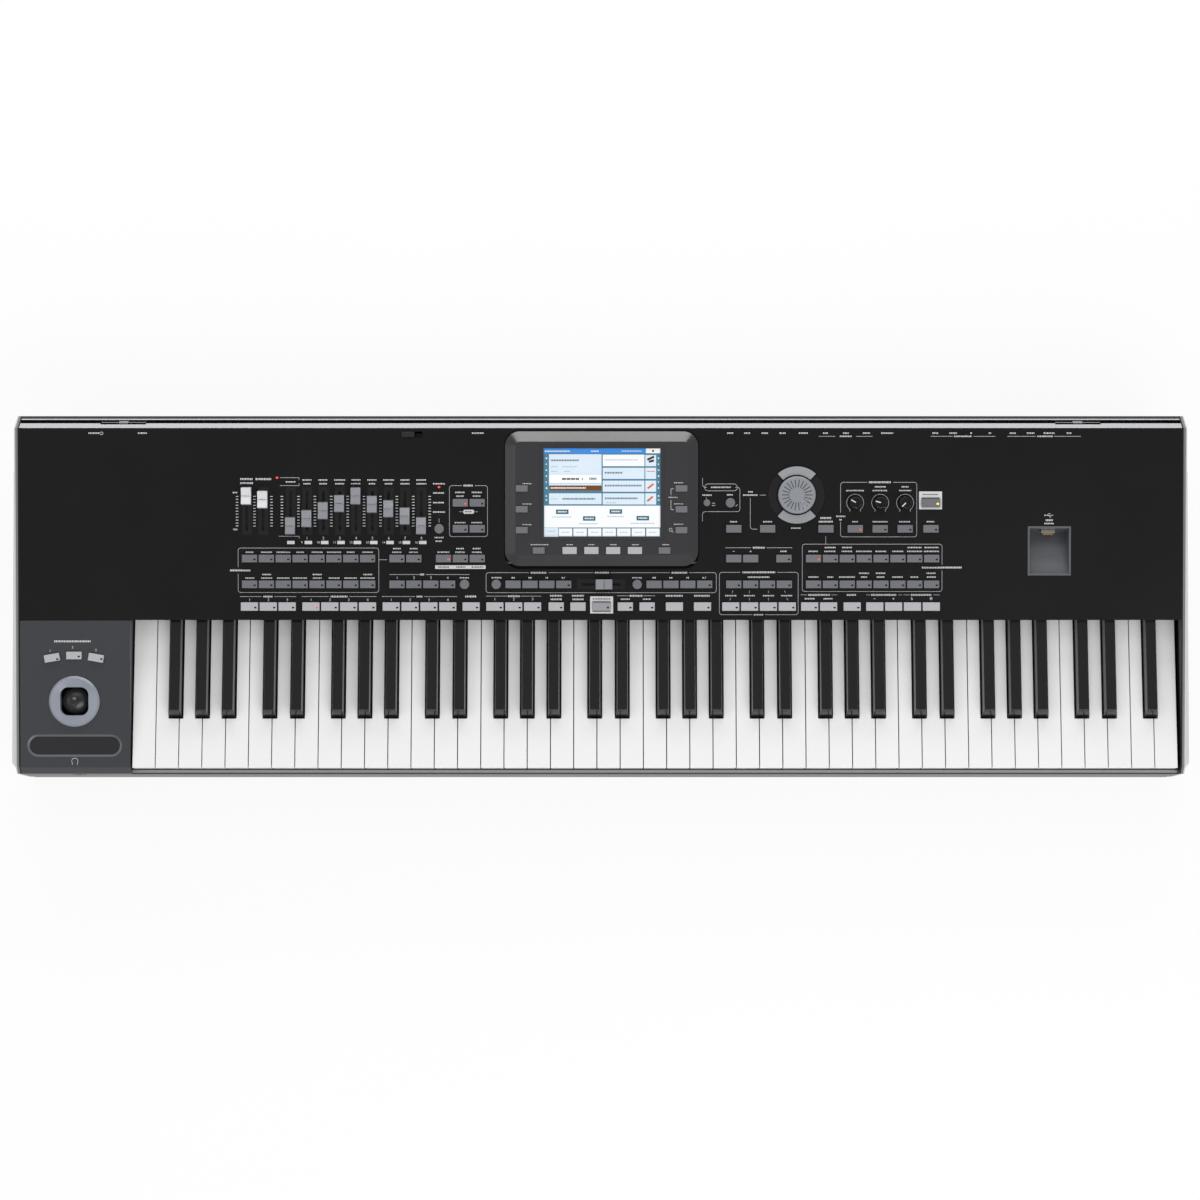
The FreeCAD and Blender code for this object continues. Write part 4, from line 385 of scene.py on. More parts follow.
inside = panel_high.x
cheek_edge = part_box("right_end_cheek")[1].x
# Painted shade in the seam by the panel, then the cheek's grey, then a painted highlight on the outer bulge.
cheek_shade_and_highlight_tones = [(0.0, tone(22, 22, 23)), (0.09, tone(128, 127, 128)), (0.24, tone(208, 209, 211))]
cheek_shade_and_highlight_bands = banded("cheek_shade_and_highlight_bands", cheek_silver, "X", inside, cheek_edge, cheek_shade_and_highlight_tones)
slip_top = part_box("key_slip")[1].z
# Painted shade down the slip's front face, then a painted highlight along its top edge.
slip_shade_and_highlight_tones = [(0.0, tone(50, 51, 54)), (0.9, tone(136, 137, 141))]
slip_shade_and_highlight_bands = banded("slip_shade_and_highlight_bands", slip_plastic, "Z", slip_top - 10 * MM, slip_top, slip_shade_and_highlight_tones)
print("cheek width", round((cheek_edge - inside) / MM, 1), "mm, slip top", round(slip_top / MM, 1), "mm")

# %% [markdown]
# ## Softened edges
# A moulded part never has a knife edge: each has a small radius that draws a thin bright line. The
# CAD solids have sharp edges to keep them light, so a copy of a node is merged, its flat triangles
# are dissolved, a Bevel modifier rounds what is left, and weighted normals keep the flats flat.


# %% Rounding a copy of a node
def softened(node, finish, radius, segments=2, angle=30.0, shape=None):
    piece = bpy.data.objects.new(node, nodes[node].data.copy())
    bpy.context.collection.objects.link(piece)
    edit(piece)
    bpy.ops.mesh.remove_doubles(threshold=0.002 * MM)
    if shape:
        bpy.ops.object.mode_set(mode="OBJECT")
        shape(piece.data)
        edit(piece)
    bpy.ops.mesh.dissolve_limited(angle_limit=math.radians(0.5))
    bpy.ops.object.mode_set(mode="OBJECT")
    bevel = piece.modifiers.new("soft_edges", "BEVEL")
    bevel.width = radius * MM
    bevel.segments = segments
    bevel.angle_limit = math.radians(angle)
    bpy.ops.object.modifier_apply(modifier=bevel.name)
    bpy.ops.object.shade_smooth_by_angle(angle=math.radians(angle))
    even = piece.modifiers.new("even_normals", "WEIGHTED_NORMAL")
    even.keep_sharp = True
    bpy.ops.object.modifier_apply(modifier=even.name)
    dress(piece, node + "_soft", body_of[node], finish)
    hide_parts(node)
    return piece


white_rows = [node for node in nodes if slot_of[node] == "white_key"]
black_rows = [node for node in nodes if slot_of[node] == "black_key"]
for node in white_rows:
    softened(node, white_key_plastic, 0.9, 3)
for node in black_rows:
    softened(node, black_key_plastic, 0.9, 3)
print("rounded", len(white_rows), "white and", len(black_rows), "black key rows")

# %% [markdown]
# ## The case
# Cheeks, slip and joystick block are separate mouldings, and their rounded edges show where one
# ends and the next begins. Two copies change shape before they are rounded: the collar of the joystick
# is dished by lowering its inner edge, and the opening of the screen gets sloped sides by spreading its
# upper edge. The flat sheets keep their CAD shape, and only take a finish.


# %% Case mouldings and sheets
def dish(mesh):
    rim_level, half_width, drop = 2.9, 15, Vector((0, 0, 2.2))
    centre = to_panel @ Vector(joint_named["joystick_fore_aft"]["pos_m"])
    for vertex in mesh.vertices:
        spot = to_panel @ vertex.co
        if spot.z > rim_level and max(abs(spot.x - centre.x), abs(spot.y - centre.y)) < half_width:
            vertex.co = panel @ (spot - drop)


def slope_bezel(mesh):
    half_width, half_length, face_level, spread = 58.75, 44.4, 9.0, 3.8
    screen_middle = Vector((1.5, 128.3, 0))
    for vertex in mesh.vertices:
        spot = to_panel @ vertex.co
        aside = spot - screen_middle
        inside_edge = abs(aside.x) < half_width + 0.1 and abs(aside.y) < half_length + 0.1
        if inside_edge and abs(spot.z - face_level) < 0.1:
            outward = Vector((math.copysign(spread, aside.x), math.copysign(spread, aside.y), 0))
            vertex.co = panel @ (spot + outward)


softened("joystick_collar", collar_plastic, 0.5, 2, 40, dish)
softened("display_housing", housing_plastic, 0.6, 3, 25, slope_bezel)
for node, finish, radius in (
    ("left_end_cheek", cheek_shade_and_highlight_bands, 0.8), ("right_end_cheek", cheek_shade_and_highlight_bands, 0.8),
    ("key_slip", slip_shade_and_highlight_bands, 0.8), ("joystick_panel", block_plastic, 0.9),
    ("ribbon_strip", pad_film, 0.25), ("usb_well", well_plastic, 0.3), ("rear_rail", rail_highlight_bands, 0.25),
    ("speaker_latch", knob_rubber, 0.3), ("power_switch", gloss_black, 0.4),
    ("rubber_feet", foot_rubber, 0.6), ("joystick_stick", boot_rubber, 0.8),
    ("joystick_gimbal", dark_moulding, 0.2),
):
    softened(node, finish, radius)
for node, finish in (
    ("top_panel", panel_paint), ("bottom_case", case_steel), ("rear_panel", case_steel),
    ("keybed_frame", bare_steel), ("key_springs", bare_steel), ("circuit_boards", board_lacquer),
    ("power_supply", bare_steel), ("connectors", dark_moulding), ("control_pots", dark_moulding),
    ("case_screws", nickel), ("display_screen", gloss_black),
):
    nodes[node].data.materials.clear()
    nodes[node].data.materials.append(finish)
print("case dressed")

# %% [markdown]
# ## Buttons
# The caps are small mouldings in two greys with a soft edge. The start key is a third grey in the pale
# row, and four keys under the screen are pale, so their faces get a slot chosen by their place.

# %% Button caps
for node in ("style_buttons", "sound_buttons", "control_buttons", "display_buttons"):
    softened(node, dark_cap, 0.5)
for node in ("arranger_buttons", "assignable_switches"):
    softened(node, light_cap, 0.5)
softened("value_buttons", start_cap, 0.5)
START_U, START_HALF = 1.0, 9.5
SETTING_KEYS, SETTING_HALF = Vector((1.7, 70.1, 0)), Vector((45, 7, 0))
pale_row = bpy.data.objects["arranger_buttons_soft"]
pale_row.data.materials.append(start_cap)
for face in pale_row.data.polygons:
    if abs((to_panel @ face.center).x - START_U) < START_HALF:
        face.material_index = 1
screen_keys = bpy.data.objects["display_buttons_soft"]
screen_keys.data.materials.append(light_cap)
for face in screen_keys.data.polygons:
    aside = to_panel @ face.center - SETTING_KEYS
    if abs(aside.x) < SETTING_HALF.x and abs(aside.y) < SETTING_HALF.y:
        face.material_index = 1
print("start cap faces:", sum(face.material_index for face in pale_row.data.polygons))


# %% [markdown]
# ## Measuring the caps
# The lamp windows and labels go by the caps, so each cap's place is read from its own CAD solid: the
# node's mesh is merged in a scratch copy and walked from vertex to vertex, and each island's box is
# kept in panel millimetres.


# %% Boxes of a node's separate solids
def cap_boxes(node):
    scratch = bmesh.new()
    scratch.from_mesh(nodes[node].data)
    bmesh.ops.remove_doubles(scratch, verts=scratch.verts, dist=0.002 * MM)
    scratch.transform(to_panel)
    waiting = set(scratch.verts)
    boxes = []
    while waiting:
        reached = [waiting.pop()]
        island = []
        while reached:
            vertex = reached.pop()
            island.append(vertex.co.copy())
            for edge_ in vertex.link_edges:
                other = edge_.other_vert(vertex)
                if other in waiting:
                    waiting.remove(other)
                    reached.append(other)
        top = max(point.z for point in island)
        crown = [point for point in island if point.z > top - 1.0]
        low = Vector([min(point[axis] for point in crown) for axis in range(3)])
        high = Vector([max(point[axis] for point in crown) for axis in range(3)])
        boxes.append((low, high))
    scratch.free()
    return sorted(boxes, key=lambda box: (round(box[0].y), box[0].x))


caps = {node: cap_boxes(node) for node in (
    "style_buttons", "sound_buttons", "control_buttons", "arranger_buttons", "assignable_switches")}
print({node: len(boxes) for node, boxes in caps.items()})

# %% [markdown]
# ## Lamp windows
# Most caps carry a small dark window at their right end, with a lamp behind it, and a few are lit. A
# window is a plane with rounded corners, pressed out a little, and copied to every cap.

# %% Lamp windows and lit lamps
PLAIN_CAPS = {
    "control_buttons": [(134.2, 92), (168.3, 92), (227, 92), (134.2, 62), (151.2, 62)]
    + [(first + 17 * index, 36) for first in (-88.2, 53.9) for index in range(3)],
    "arranger_buttons": [(-22.8, 13.6), (74.4, 13.6)] + [(276.4 + 19 * index, 13.6) for index in range(4)],
}
LIT_CAPS = {
    "control_buttons": [(-141.3, 118.2), (-158.3, 62), (256.6, 92)],
    "arranger_buttons": [(-292, 13.6)],
    "sound_buttons": [(214.6, 62)],
}
STANDBY = (332.8, 118.2)
NARROW_CAP = 11
LAMP_PLATE = (2.3, 1.7, 0.4, 0.09)


def glowing(name, colour, strength):
    finish = moulded(name, colour, 0.3, 1500, 0.1)
    tree = finish.node_tree
    shader = tree.nodes["Principled BSDF"]
    tree.links.new(skin_of(tree).outputs["Colour"], shader.inputs["Emission Color"])
    shader.inputs["Emission Strength"].default_value = strength
    return finish


red_lamp = glowing("red_lamp", tone(255, 62, 40), 1.6)
dim_lamp = glowing("dim_lamp", tone(214, 84, 68), 0.45)
amber_lamp = glowing("amber_lamp", tone(255, 196, 64), 1.4)


def window(width, depth, corner, thickness):
    """A small plate with rounded corners, lying on the panel plane."""
    plate = flat_sheet(width, depth)
    bpy.ops.mesh.bevel(offset=corner, segments=3, affect="VERTICES")
    return raised(plate, thickness)


def near(place, places):
    return any(abs(place[0] - u) < 4 and abs(place[1] - v) < 4 for u, v in places)


lamp_finishes = {"windows": lamp_window, "lit": dim_lamp, "amber": amber_lamp}
for node, boxes in caps.items():
    places = {kind: [] for kind in lamp_finishes}
    for low, high in boxes:
        middle = (low + high) / 2
        size = high - low
        if size.x < NARROW_CAP or near(middle, PLAIN_CAPS.get(node, [])):
            continue
        kind = "lit" if near(middle, LIT_CAPS.get(node, [])) else "windows"
        kind = "amber" if near(middle, [STANDBY]) else kind
        places[kind].append(on_panel(high.x - 2.6, middle.y - size.y * 0.12, high.z - 0.05))
    for kind, spots in places.items():
        if spots:
            piece = stamp(window(*LAMP_PLATE), spots)
            dress(piece, f"{node}_{kind}", body_of[node], lamp_finishes[kind])
    print(node, {kind: len(spots) for kind, spots in places.items()})

# %% [markdown]
# ## Sliders
# Each cap is a saddle that a finger rests in. The first two are nearly white and the rest silver, and
# a fine dark line across the ridge shows the setting. Under each cap runs a black trough with a slot.

# %% Slider caps, index lines and trough liners
LINE_PLATE, LINE_DROP = (8.6, 0.45, 0.1, 0.08), 1.12
slider_nodes = [node for node in nodes if slot_of[node] == "slider_plastic"]
for node in slider_nodes:
    pale = node in ("slider_01", "slider_02")
    softened(node, slider_white if pale else slider_silver, 0.35)
    low, high = cap_boxes(node)[0]
    middle = (low + high) / 2
    across = high.x - low.x > high.y - low.y
    turn = math.pi / 2 if across else 0.0
    place = on_panel(middle.x, middle.y, high.z - LINE_DROP, turn)
    line_piece = stamp(window(*LINE_PLATE), [place])
    dress(line_piece, node + "_line", node, gloss_black)


def trough_liner(width, length, slot_width):
    liner = flat_sheet(width, length)
    bpy.ops.mesh.inset(thickness=(width - slot_width) / 2)
    bpy.ops.mesh.delete(type="FACE")
    bpy.ops.mesh.select_all(action="SELECT")
    return raised(liner, 0.12, True)


slider_u = [-356.7, -340.3] + [-312.4 + 16.47 * index for index in range(9)]
SLIDER_V, CROSSFADER = 110.0, (0.5, 36.0)
trough_places = [on_panel(u, SLIDER_V, -1.0) for u in slider_u]
trough_places.append(on_panel(*CROSSFADER, -1.0, math.pi / 2))
liners = stamp(trough_liner(10.5, 48.5, 2.6), trough_places)
dress(liners, "slider_trough_liners", "case", gloss_black)
print(len(slider_nodes), "slider caps")

# %% [markdown]
# ## The value dial
# A ring of fine grooves gives the finger grip on the dial. They are cut with one Boolean: a thin rounded bar is
# modelled once, turned to each angle, and the whole set is taken out of the dial. The cut faces take the bar's
# darker grey, which is painted shade in the grooves.

# %% Grooved dial
dial = softened("value_dial", dial_plastic, 0.8, 3)
dial_centre = to_panel @ Vector(joint_named["value_dial_turn"]["pos_m"])
dial_top = cap_boxes("value_dial")[0][1].z
GROOVES, GROOVE_PLATE, GROOVE_RADIUS, GROOVE_DEPTH = 22, (8.0, 0.9, 0.4, 2.0), 11.6, 0.6
turns = [2 * math.pi * index / GROOVES for index in range(GROOVES)]
groove_seat = on_panel(dial_centre.x, dial_centre.y, dial_top - GROOVE_DEPTH)
outward = Matrix.Translation((GROOVE_RADIUS, 0, 0))
groove_places = [groove_seat @ Matrix.Rotation(turn, 4, "Z") @ outward for turn in turns]
cutter = stamp(window(*GROOVE_PLATE), groove_places)
# The bar's darker grey goes to the cut faces as painted shade in the grooves.
cutter.data.materials.append(groove_shade_grey)
take(dial)
carve = dial.modifiers.new("grooves", "BOOLEAN")
carve.object = cutter
carve.solver = "EXACT"
carve.material_mode = "TRANSFER"
bpy.ops.object.modifier_apply(modifier=carve.name)
bpy.data.objects.remove(cutter)
bpy.ops.object.shade_smooth_by_angle(angle=math.radians(30))
print("dial faces:", len(dial.data.polygons))


# %% Dark arcs beside the dial
def arc_plate(inner, outer, middle_turn, spread, thickness):
    """A ring sector: a fine ring of faces with those outside the sector deleted, then thickened."""
    let_go()
    bpy.ops.mesh.primitive_circle_add(vertices=120, radius=outer, fill_type="NGON")
    plate = bpy.context.object
    edit(plate)
    bpy.ops.mesh.inset(thickness=outer - inner)
    bpy.ops.mesh.delete(type="FACE")
    bpy.ops.object.mode_set(mode="OBJECT")
    for face in plate.data.polygons:
        turn = math.atan2(face.center.y, face.center.x) - middle_turn
        face.select = abs(math.remainder(turn, 2 * math.pi)) > spread / 2
    take(plate)
    bpy.ops.object.mode_set(mode="EDIT")
    bpy.ops.mesh.delete(type="FACE")
    bpy.ops.mesh.select_all(action="SELECT")
    return raised(plate, thickness, True)


ARC_INNER, ARC_OUTER, RECESS = 20.4, 28.6, -1.0
for side, middle_turn in (("left", math.pi), ("right", 0.0)):
    arc = arc_plate(ARC_INNER, ARC_OUTER, middle_turn, math.radians(88), 0.5)
    arc.data.transform(on_panel(dial_centre.x, dial_centre.y, RECESS))
    dress(arc, f"dial_{side}_arc", "case", gloss_black)
print("dial at", [round(x, 1) for x in dial_centre])

# %% [markdown]
# ## Knobs
# Three dark knobs with a white pointer let into the crown. The pointer's angle is each knob's rest
# turn, which its joint limits give, since they are counted from the rest pose.

# %% Knobs and pointers
POINTER_PLATE, POINTER_OUT, POINTER_SUNK = (1.1, 5.4, 0.25, 0.4), 3.0, 0.35
for node in ("mic_volume_knob", "harmony_knob", "reverb_knob"):
    softened(node, knob_rubber, 0.6, 3)
    joint = joint_named[node + "_turn"]
    centre = to_panel @ Vector(joint["pos_m"])
    low, high = (math.radians(limit) for limit in joint["range_deg"])
    rest_turn = -(low + high) / 2
    top = cap_boxes(node)[0][1].z
    place = on_panel(centre.x, centre.y, top - POINTER_SUNK, rest_turn)
    pointer = stamp(window(*POINTER_PLATE), [place @ Matrix.Translation((0, POINTER_OUT, 0))])
    dress(pointer, node + "_pointer", node, print_white)
    print(node, "rests at", round(math.degrees(rest_turn)), "degrees")

# %% [markdown]
# ## Ink lines
# The panel's frames, scales and brackets are screen printed. Each line is drawn as a path with a
# thin round section, turned into a mesh and pressed flat, as a film of ink lies on the sheet.


# %% Drawing with ink
INK_PRESS = 0.06


def ink(paths, width, surface):
    """Draws every path as one flat line on the plane of the surface matrix."""
    sheet = bpy.data.curves.new("ink", "CURVE")
    sheet.dimensions = "3D"
    sheet.bevel_depth = width / 2
    sheet.bevel_resolution = 0
    sheet.use_fill_caps = True
    for path in paths:
        spline = sheet.splines.new("POLY")
        spline.points.add(len(path) - 1)
        for point, (u, v) in zip(spline.points, path):
            point.co = (u, v, 0, 1)
    piece = bpy.data.objects.new("ink", sheet)
    bpy.context.collection.objects.link(piece)
    take(piece)
    bpy.ops.object.convert(target="MESH")
    piece = bpy.context.object
    piece.data.transform(surface @ Matrix.Diagonal((1, 1, INK_PRESS, 1)))
    return piece


# %% [markdown]
# ## Frames, words and scales as paths
# A frame is four sides with gaps for its heading and four quarter circles. A word is a row of dashes of
# uneven length, which is how such small lettering reads from a step away.


# %% Path makers
CORNER = 2.6
DASHES = (1.3, 0.9, 1.5, 0.8, 1.1)
DASH_GAP = 0.5


def flat_line(v, *stops):
    return [[(begin, v), (end, v)] for begin, end in zip(stops[::2], stops[1::2])]


def steep_line(u, *stops):
    return [[(u, begin), (u, end)] for begin, end in zip(stops[::2], stops[1::2])]


def arc_path(u, v, radius, start, end, steps=6):
    turns = [math.radians(start + (end - start) * step / steps) for step in range(steps + 1)]
    return [(u + radius * math.cos(turn), v + radius * math.sin(turn)) for turn in turns]


def frame_paths(left, right, low, high, gaps=()):
    """Each gap is the name of a side, and where along that side it begins and ends."""
    paths = []
    for side, level in (("low", low), ("high", high), ("left", left), ("right", right)):
        flat = side in ("low", "high")
        ends = (left, right) if flat else (low, high)
        stops = [ends[0] + CORNER]
        for gap in sorted(gap[1:] for gap in gaps if gap[0] == side):
            stops += gap
        stops.append(ends[1] - CORNER)
        paths += flat_line(level, *stops) if flat else steep_line(level, *stops)
    for u, v, start in ((right - CORNER, high - CORNER, 0), (left + CORNER, high - CORNER, 90),
                        (left + CORNER, low + CORNER, 180), (right - CORNER, low + CORNER, 270)):
        paths.append(arc_path(u, v, CORNER, start, start + 90))
    return paths


def word(u, v, width):
    paths = []
    begin, index = u - width / 2, round(abs(u) + abs(v))
    while begin < u + width / 2 - DASH_GAP:
        end = min(begin + DASHES[index % len(DASHES)], u + width / 2)
        paths.append([(begin, v), (end, v)])
        begin, index = end + DASH_GAP, index + 1
    return paths


def put(rows, *places):
    for place in places:
        rows.extend(word(*place))


# %% [markdown]
# ## Scales of the sliders
# Thirteen columns of ticks stand between the sliders, eleven ticks in each, with words above. The
# numbers under the sliders are plain counting numbers beside small white label boxes.

# %% Slider scales
TICK_COLUMNS = [-366.4, -348.9, -331.7, -321.2] + [-304.5 + 16.53 * index for index in range(9)]
ticks, lines, words, headings = [], [], [], []
for u in TICK_COLUMNS:
    for step in range(11):
        ticks += flat_line(94.8 + 2.98 * step, u - 1.3, u + 1.3)
put(words, (-368.2, 128.4, 5), (-368.2, 91.3, 4))
put(headings, (-356.7, 142.0, 13), (-356.7, 137.9, 13), (-339.7, 142.0, 16))
for index, u in enumerate(slider_u[3:]):
    put(words, (u, 141.1, 9 + index % 3), (u, 137.3, 7 + index % 4))
put(words, (-312.3, 139.2, 10))
for v, left in ((143.5, -323.1), (135.5, -323.1), (84.5, -324.4)):
    lines += flat_line(v, left, -303.9)
lines += steep_line(-303.9, 143.5, 141.0, 138.0, 135.5, 84.5, 82.0)
white_boxes = [(-312.3, 78.2)] + [(u + 1.3, 78.2) for u in slider_u[3:]]
print(len(ticks), "ticks")

# %% [markdown]
# ## Left half of the panel
# From the photograph: the mode column with its small lamps, the mode frame, the style bank's frame,
# the pad and memory headings, and the headings over the pale row.

# %% Left half
for v in (137.3, 128.0, 118.3, 108.8):
    put(words, (-162.9, v, 12))
lines.append([(-162.85, 102.4), (-162.85, 98.1)])
put(words, (-162.9, 83.2, 9), (-162.9, 79.5, 7))
lines += frame_paths(-152.4, -114.0, 84.2, 135.5, [("high", -139.7, -126.7)])
put(headings, (-133.2, 135.5, 10))
for u in (-141.6, -124.8):
    put(words, (u, 128.6, 10), (u, 124.8, 8), (u, 98.1, 11))
lines += flat_line(109.2, -142.6, -138.4, -127.6, -123.6)
lines += frame_paths(-365.5, -223.7, 27.8, 72.6, [("left", 46.8, 53.4)])
lines += flat_line(60.8, -223.7, -215.3)
put(headings, (-363.2, 50.0, 21))
for index in range(8):
    u = -353.8 + 17 * index
    put(words, (u, 68.3, 8 + 3 * (index % 3)), (u, 42.2, 9 + 2 * (index % 4)))
    if index % 3 == 1:
        put(words, (u, 45.9, 9))
for u in (-205.2, -188.2, -141.6, -124.8):
    put(words, (u, 72.0, 8), (u, 68.3, 10))
put(words, (-158.4, 68.3, 12), (-137.5, 42.5, 9))
lines += flat_line(45.9, -213.0, -183.6, -176.1, -132.3)
put(headings, (-179.8, 45.9, 5))
lines += flat_line(23.7, -363.6, -342.1, -329.1, -307.1, -301.5, -274.0, -253.5, -226.1, -220.5, -187.3,
                   -178.0, -144.9)
for u, width in ((-335.2, 10), (-263.8, 17), (-182.6, 6), (-130.6, 12)):
    put(headings, (u, 23.7, width))
print(len(lines), "lines so far")

# %% [markdown]
# ## Middle of the panel
# Below the screen are the two players with their transport marks, the ending and fade keys, the
# thick white frame around the start key, and the frame of the four tracks.

# %% Middle
lines += flat_line(24.1, -115.5, -94.5, -80.5, -59.9) + flat_line(24.5, 16.7, 28.6, 43.0, 55.0)
put(headings, (-87.5, 24.1, 12), (35.8, 24.5, 13))
for u in (-44.9, -22.8):
    put(headings, (u, 24.5, 12), (u, 20.8, 11))
put(words, (24.9, 21.0, 9), (46.7, 21.0, 8))
put(headings, (74.3, 24.5, 17), (102.3, 24.5, 16))
lines += frame_paths(-115.5, 116.7, 27.6, 47.8,
                     [("high", -72.3, -52.7), ("high", -7.4, 10.1), ("high", 69.8, 89.4)])
for u, width in ((-62.5, 16), (1.3, 14), (79.6, 16)):
    put(headings, (u, 47.8, width))
put(words, (-104.8, 42.6, 10), (36.9, 42.6, 10))
lines += frame_paths(119.8, 199.3, 5.4, 48.1, [("high", 141.0, 178.3), ("low", 153.0, 166.0)])
put(headings, (159.6, 48.1, 33))
put(words, (159.4, 43.2, 22), (159.5, 5.4, 10))
for u, lean in ((131.3, 1.3), (150.1, 0.0), (169.3, 0.0), (187.7, -1.3)):
    put(words, (u, 24.6, 11))
    lines += [[(u + 1.6 * lean, 29.6), (u + lean, 27.2)], [(u, 22.3), (u - lean, 19.8)]]
print(len(words), "dashes so far")

# %% [markdown]
# ## Right half of the panel
# The screen-lift bracket, the tempo and menu keys, the microphone frame with its three knob scales, the
# sound bank's frame, and along the rear edge the marks that name the sockets behind.

# %% Right half
lines += steep_line(102.7, 143.4, 136.6, 106.6, 99.5) + steep_line(140.4, 131.1, 112.0)
lines += flat_line(109.3, 137.7, 105.4)
for u, v, begin, end in ((105.4, 136.5, 180, 270), (137.7, 131.1, 90, 0), (137.7, 112.0, 0, -90),
                         (105.4, 106.6, 90, 180)):
    lines.append(arc_path(u, v, 2.7, begin, end))
lines += flat_line(133.8, 105.4, 107.0, 135.6, 137.7)
lines += flat_line(130.3, 108.2, 134.4) + flat_line(137.2, 108.2, 134.4)
lines += [arc_path(108.2, 133.75, 3.45, 90, 270, 8), arc_path(134.4, 133.75, 3.45, -90, 90, 8)]
put(words, (107.7, 125.9, 10), (130.3, 126.1, 6), (121.3, 133.8, 20))
put(words, (151.2, 129.2, 5), (151.2, 125.9, 15), (134.0, 99.0, 7), (168.3, 99.0, 9))
lines += flat_line(125.9, 160.4, 166.6) + steep_line(150.9, 123.2, 94.4)
lines.append(arc_path(153.7, 94.4, 2.8, 180, 270))
lines += flat_line(91.6, 153.7, 157.9)
put(words, (197.2, 92.8, 10))
put(headings, (227.0, 102.8, 11), (227.0, 99.1, 14))
lines.append([(227.0, 84.7), (227.0, 76.6)])
lines += frame_paths(241.9, 318.7, 83.9, 138.8, [("high", 268.8, 295.1), ("left", 99.1, 108.2)])
put(headings, (282.0, 138.8, 23))
put(words, (242.1, 104.5, 9), (242.1, 101.1, 3))
for index, u in enumerate((256.6, 281.8, 306.9)):
    put(words, (u, 130.4, 18 - 3 * index), (u, 99.1, (6, 15, 12)[index]))
    if index:
        put(words, (u, 134.2, 15 - 4 * index))
    lines.append(arc_path(u, 118.2, 8.6, -55, 235, 24))
    lines += [[(u + side * 4.9, 111.2), (u + side * 5.6, 109.4)] for side in (-1, 1)]
put(words, (332.8, 99.1, 8))
lines += flat_line(72.9, 125.6, 151.7, 167.1, 193.1)
put(headings, (159.6, 72.9, 12))
put(words, (184.7, 69.2, 7))
lines += frame_paths(203.4, 344.3, 28.8, 76.5, [("right", 49.8, 56.0)])
put(headings, (344.5, 52.9, 41))
for index, width in enumerate((10, 12, 11, 16, 11, 11, 15, 15)):
    u = 214.6 + 17 * index
    put(words, (u, 69.2, width), (u, 43.3, (10, 6, 16, 6, 8, 11, 8, 9)[index]))
    if index in (1, 2, 6, 7):
        put(words, (u, 73.1, width - 1))
    if index in (3, 4, 7):
        put(words, (u, 47.2, 10))
lines += flat_line(25.4, 201.9, 208.1, 232.9, 238.7, 268.0, 271.7, 300.1, 304.0, 305.6, 311.8,
                   335.7, 341.9)
for u, width in ((220.3, 22), (253.4, 10), (285.9, 26), (323.5, 21)):
    put(headings, (u, 25.4, width))
put(words, (211.0, 21.5, 10), (229.9, 21.5, 10))
put(headings, (452.3, 100.6, 7))
put(words, (452.3, 97.3, 10))
print(len(headings), "heading dashes")

# %% Rear edge and joystick block
lines += flat_line(185.1, 220.0, 236.5, 257.5, 274.0, 332.5, 354.5, 375.8, 397.6, 409.8, 438.6,
                   457.0, 483.7)
for u, width in ((-510.5, 11), (-461.6, 9), (-123.7, 12), (130.5, 6), (147.7, 6), (165.8, 7), (183.7, 7),
                 (204.2, 9), (226.6, 5), (247.2, 6), (267.8, 7), (288.7, 12), (337.2, 6), (355.4, 8),
                 (373.8, 2.5), (392.2, 2.5), (415.2, 6), (433.4, 8), (451.9, 11), (472.0, 5)):
    put(words, (u, 188.3, width))
for u, width in ((247.0, 12), (365.1, 18), (447.8, 16)):
    put(words, (u, 185.1, width))
put(headings, (-532.8, -21.6, 37))
dress(ink(lines, 0.55, panel), "panel_lines", "case", fine_ink)
ink_pieces = [ink(ticks, 0.8, panel), ink(words, 1.5, panel), ink(headings, 2.0, panel)]
print("ink drawn in", len(ink_pieces) + 1, "widths")

# %% [markdown]
# ## Numbers and marks
# Plain numbers count the sliders, pads and variations. Signs and arrows are common ones: minus and plus,
# flat and sharp, the tape-deck triangles, and the ring with a bar for power.


# %% Numbers
def numbers(items, surface):
    """Text objects, each turned into a thin mesh on the surface: text, u, v, height."""
    pieces = []
    for text, u, v, height in items:
        let_go()
        bpy.ops.object.text_add()
        writing = bpy.context.object
        writing.data.body = text
        writing.data.size = height / 0.7
        writing.data.extrude = 0.02
        writing.data.align_x = "CENTER"
        writing.data.align_y = "CENTER"
        bpy.ops.object.convert(target="MESH")
        piece = bpy.context.object
        piece.data.transform(surface @ Matrix.Translation((u, v, 0.02)))
        pieces.append(piece)
    return pieces


counting = [(str(index + 1), u, 82.5, 2.6) for index, u in enumerate(slider_u[3:])]
counting += [(str(index + 9), u - 5.2, 78.2, 2.2) for index, u in enumerate(slider_u[3:])]
for first, pitch, count, v in ((-354, 19, 3, 20.2), (-292, 19, 4, 20.2), (-211.1, 19, 4, 20.2),
                               (-106.6, 19, 3, 21.0), (-205.2, 17, 4, 42.5)):
    counting += [(str(index + 1), first + pitch * index, v, 2.6) for index in range(count)]
counting += [("1", -555.5, -31.2, 2.4), ("2", -532.8, -27.6, 2.4), ("3", -509.3, -30.4, 2.4)]
ink_pieces += numbers(counting, panel)
print(len(counting), "numbers")


# %% Triangles, signs and lamps in the print
def arrow_head(size):
    let_go()
    bpy.ops.mesh.primitive_circle_add(vertices=3, radius=size, fill_type="NGON")
    head = bpy.context.object
    edit(head)
    return raised(head, 0.04)


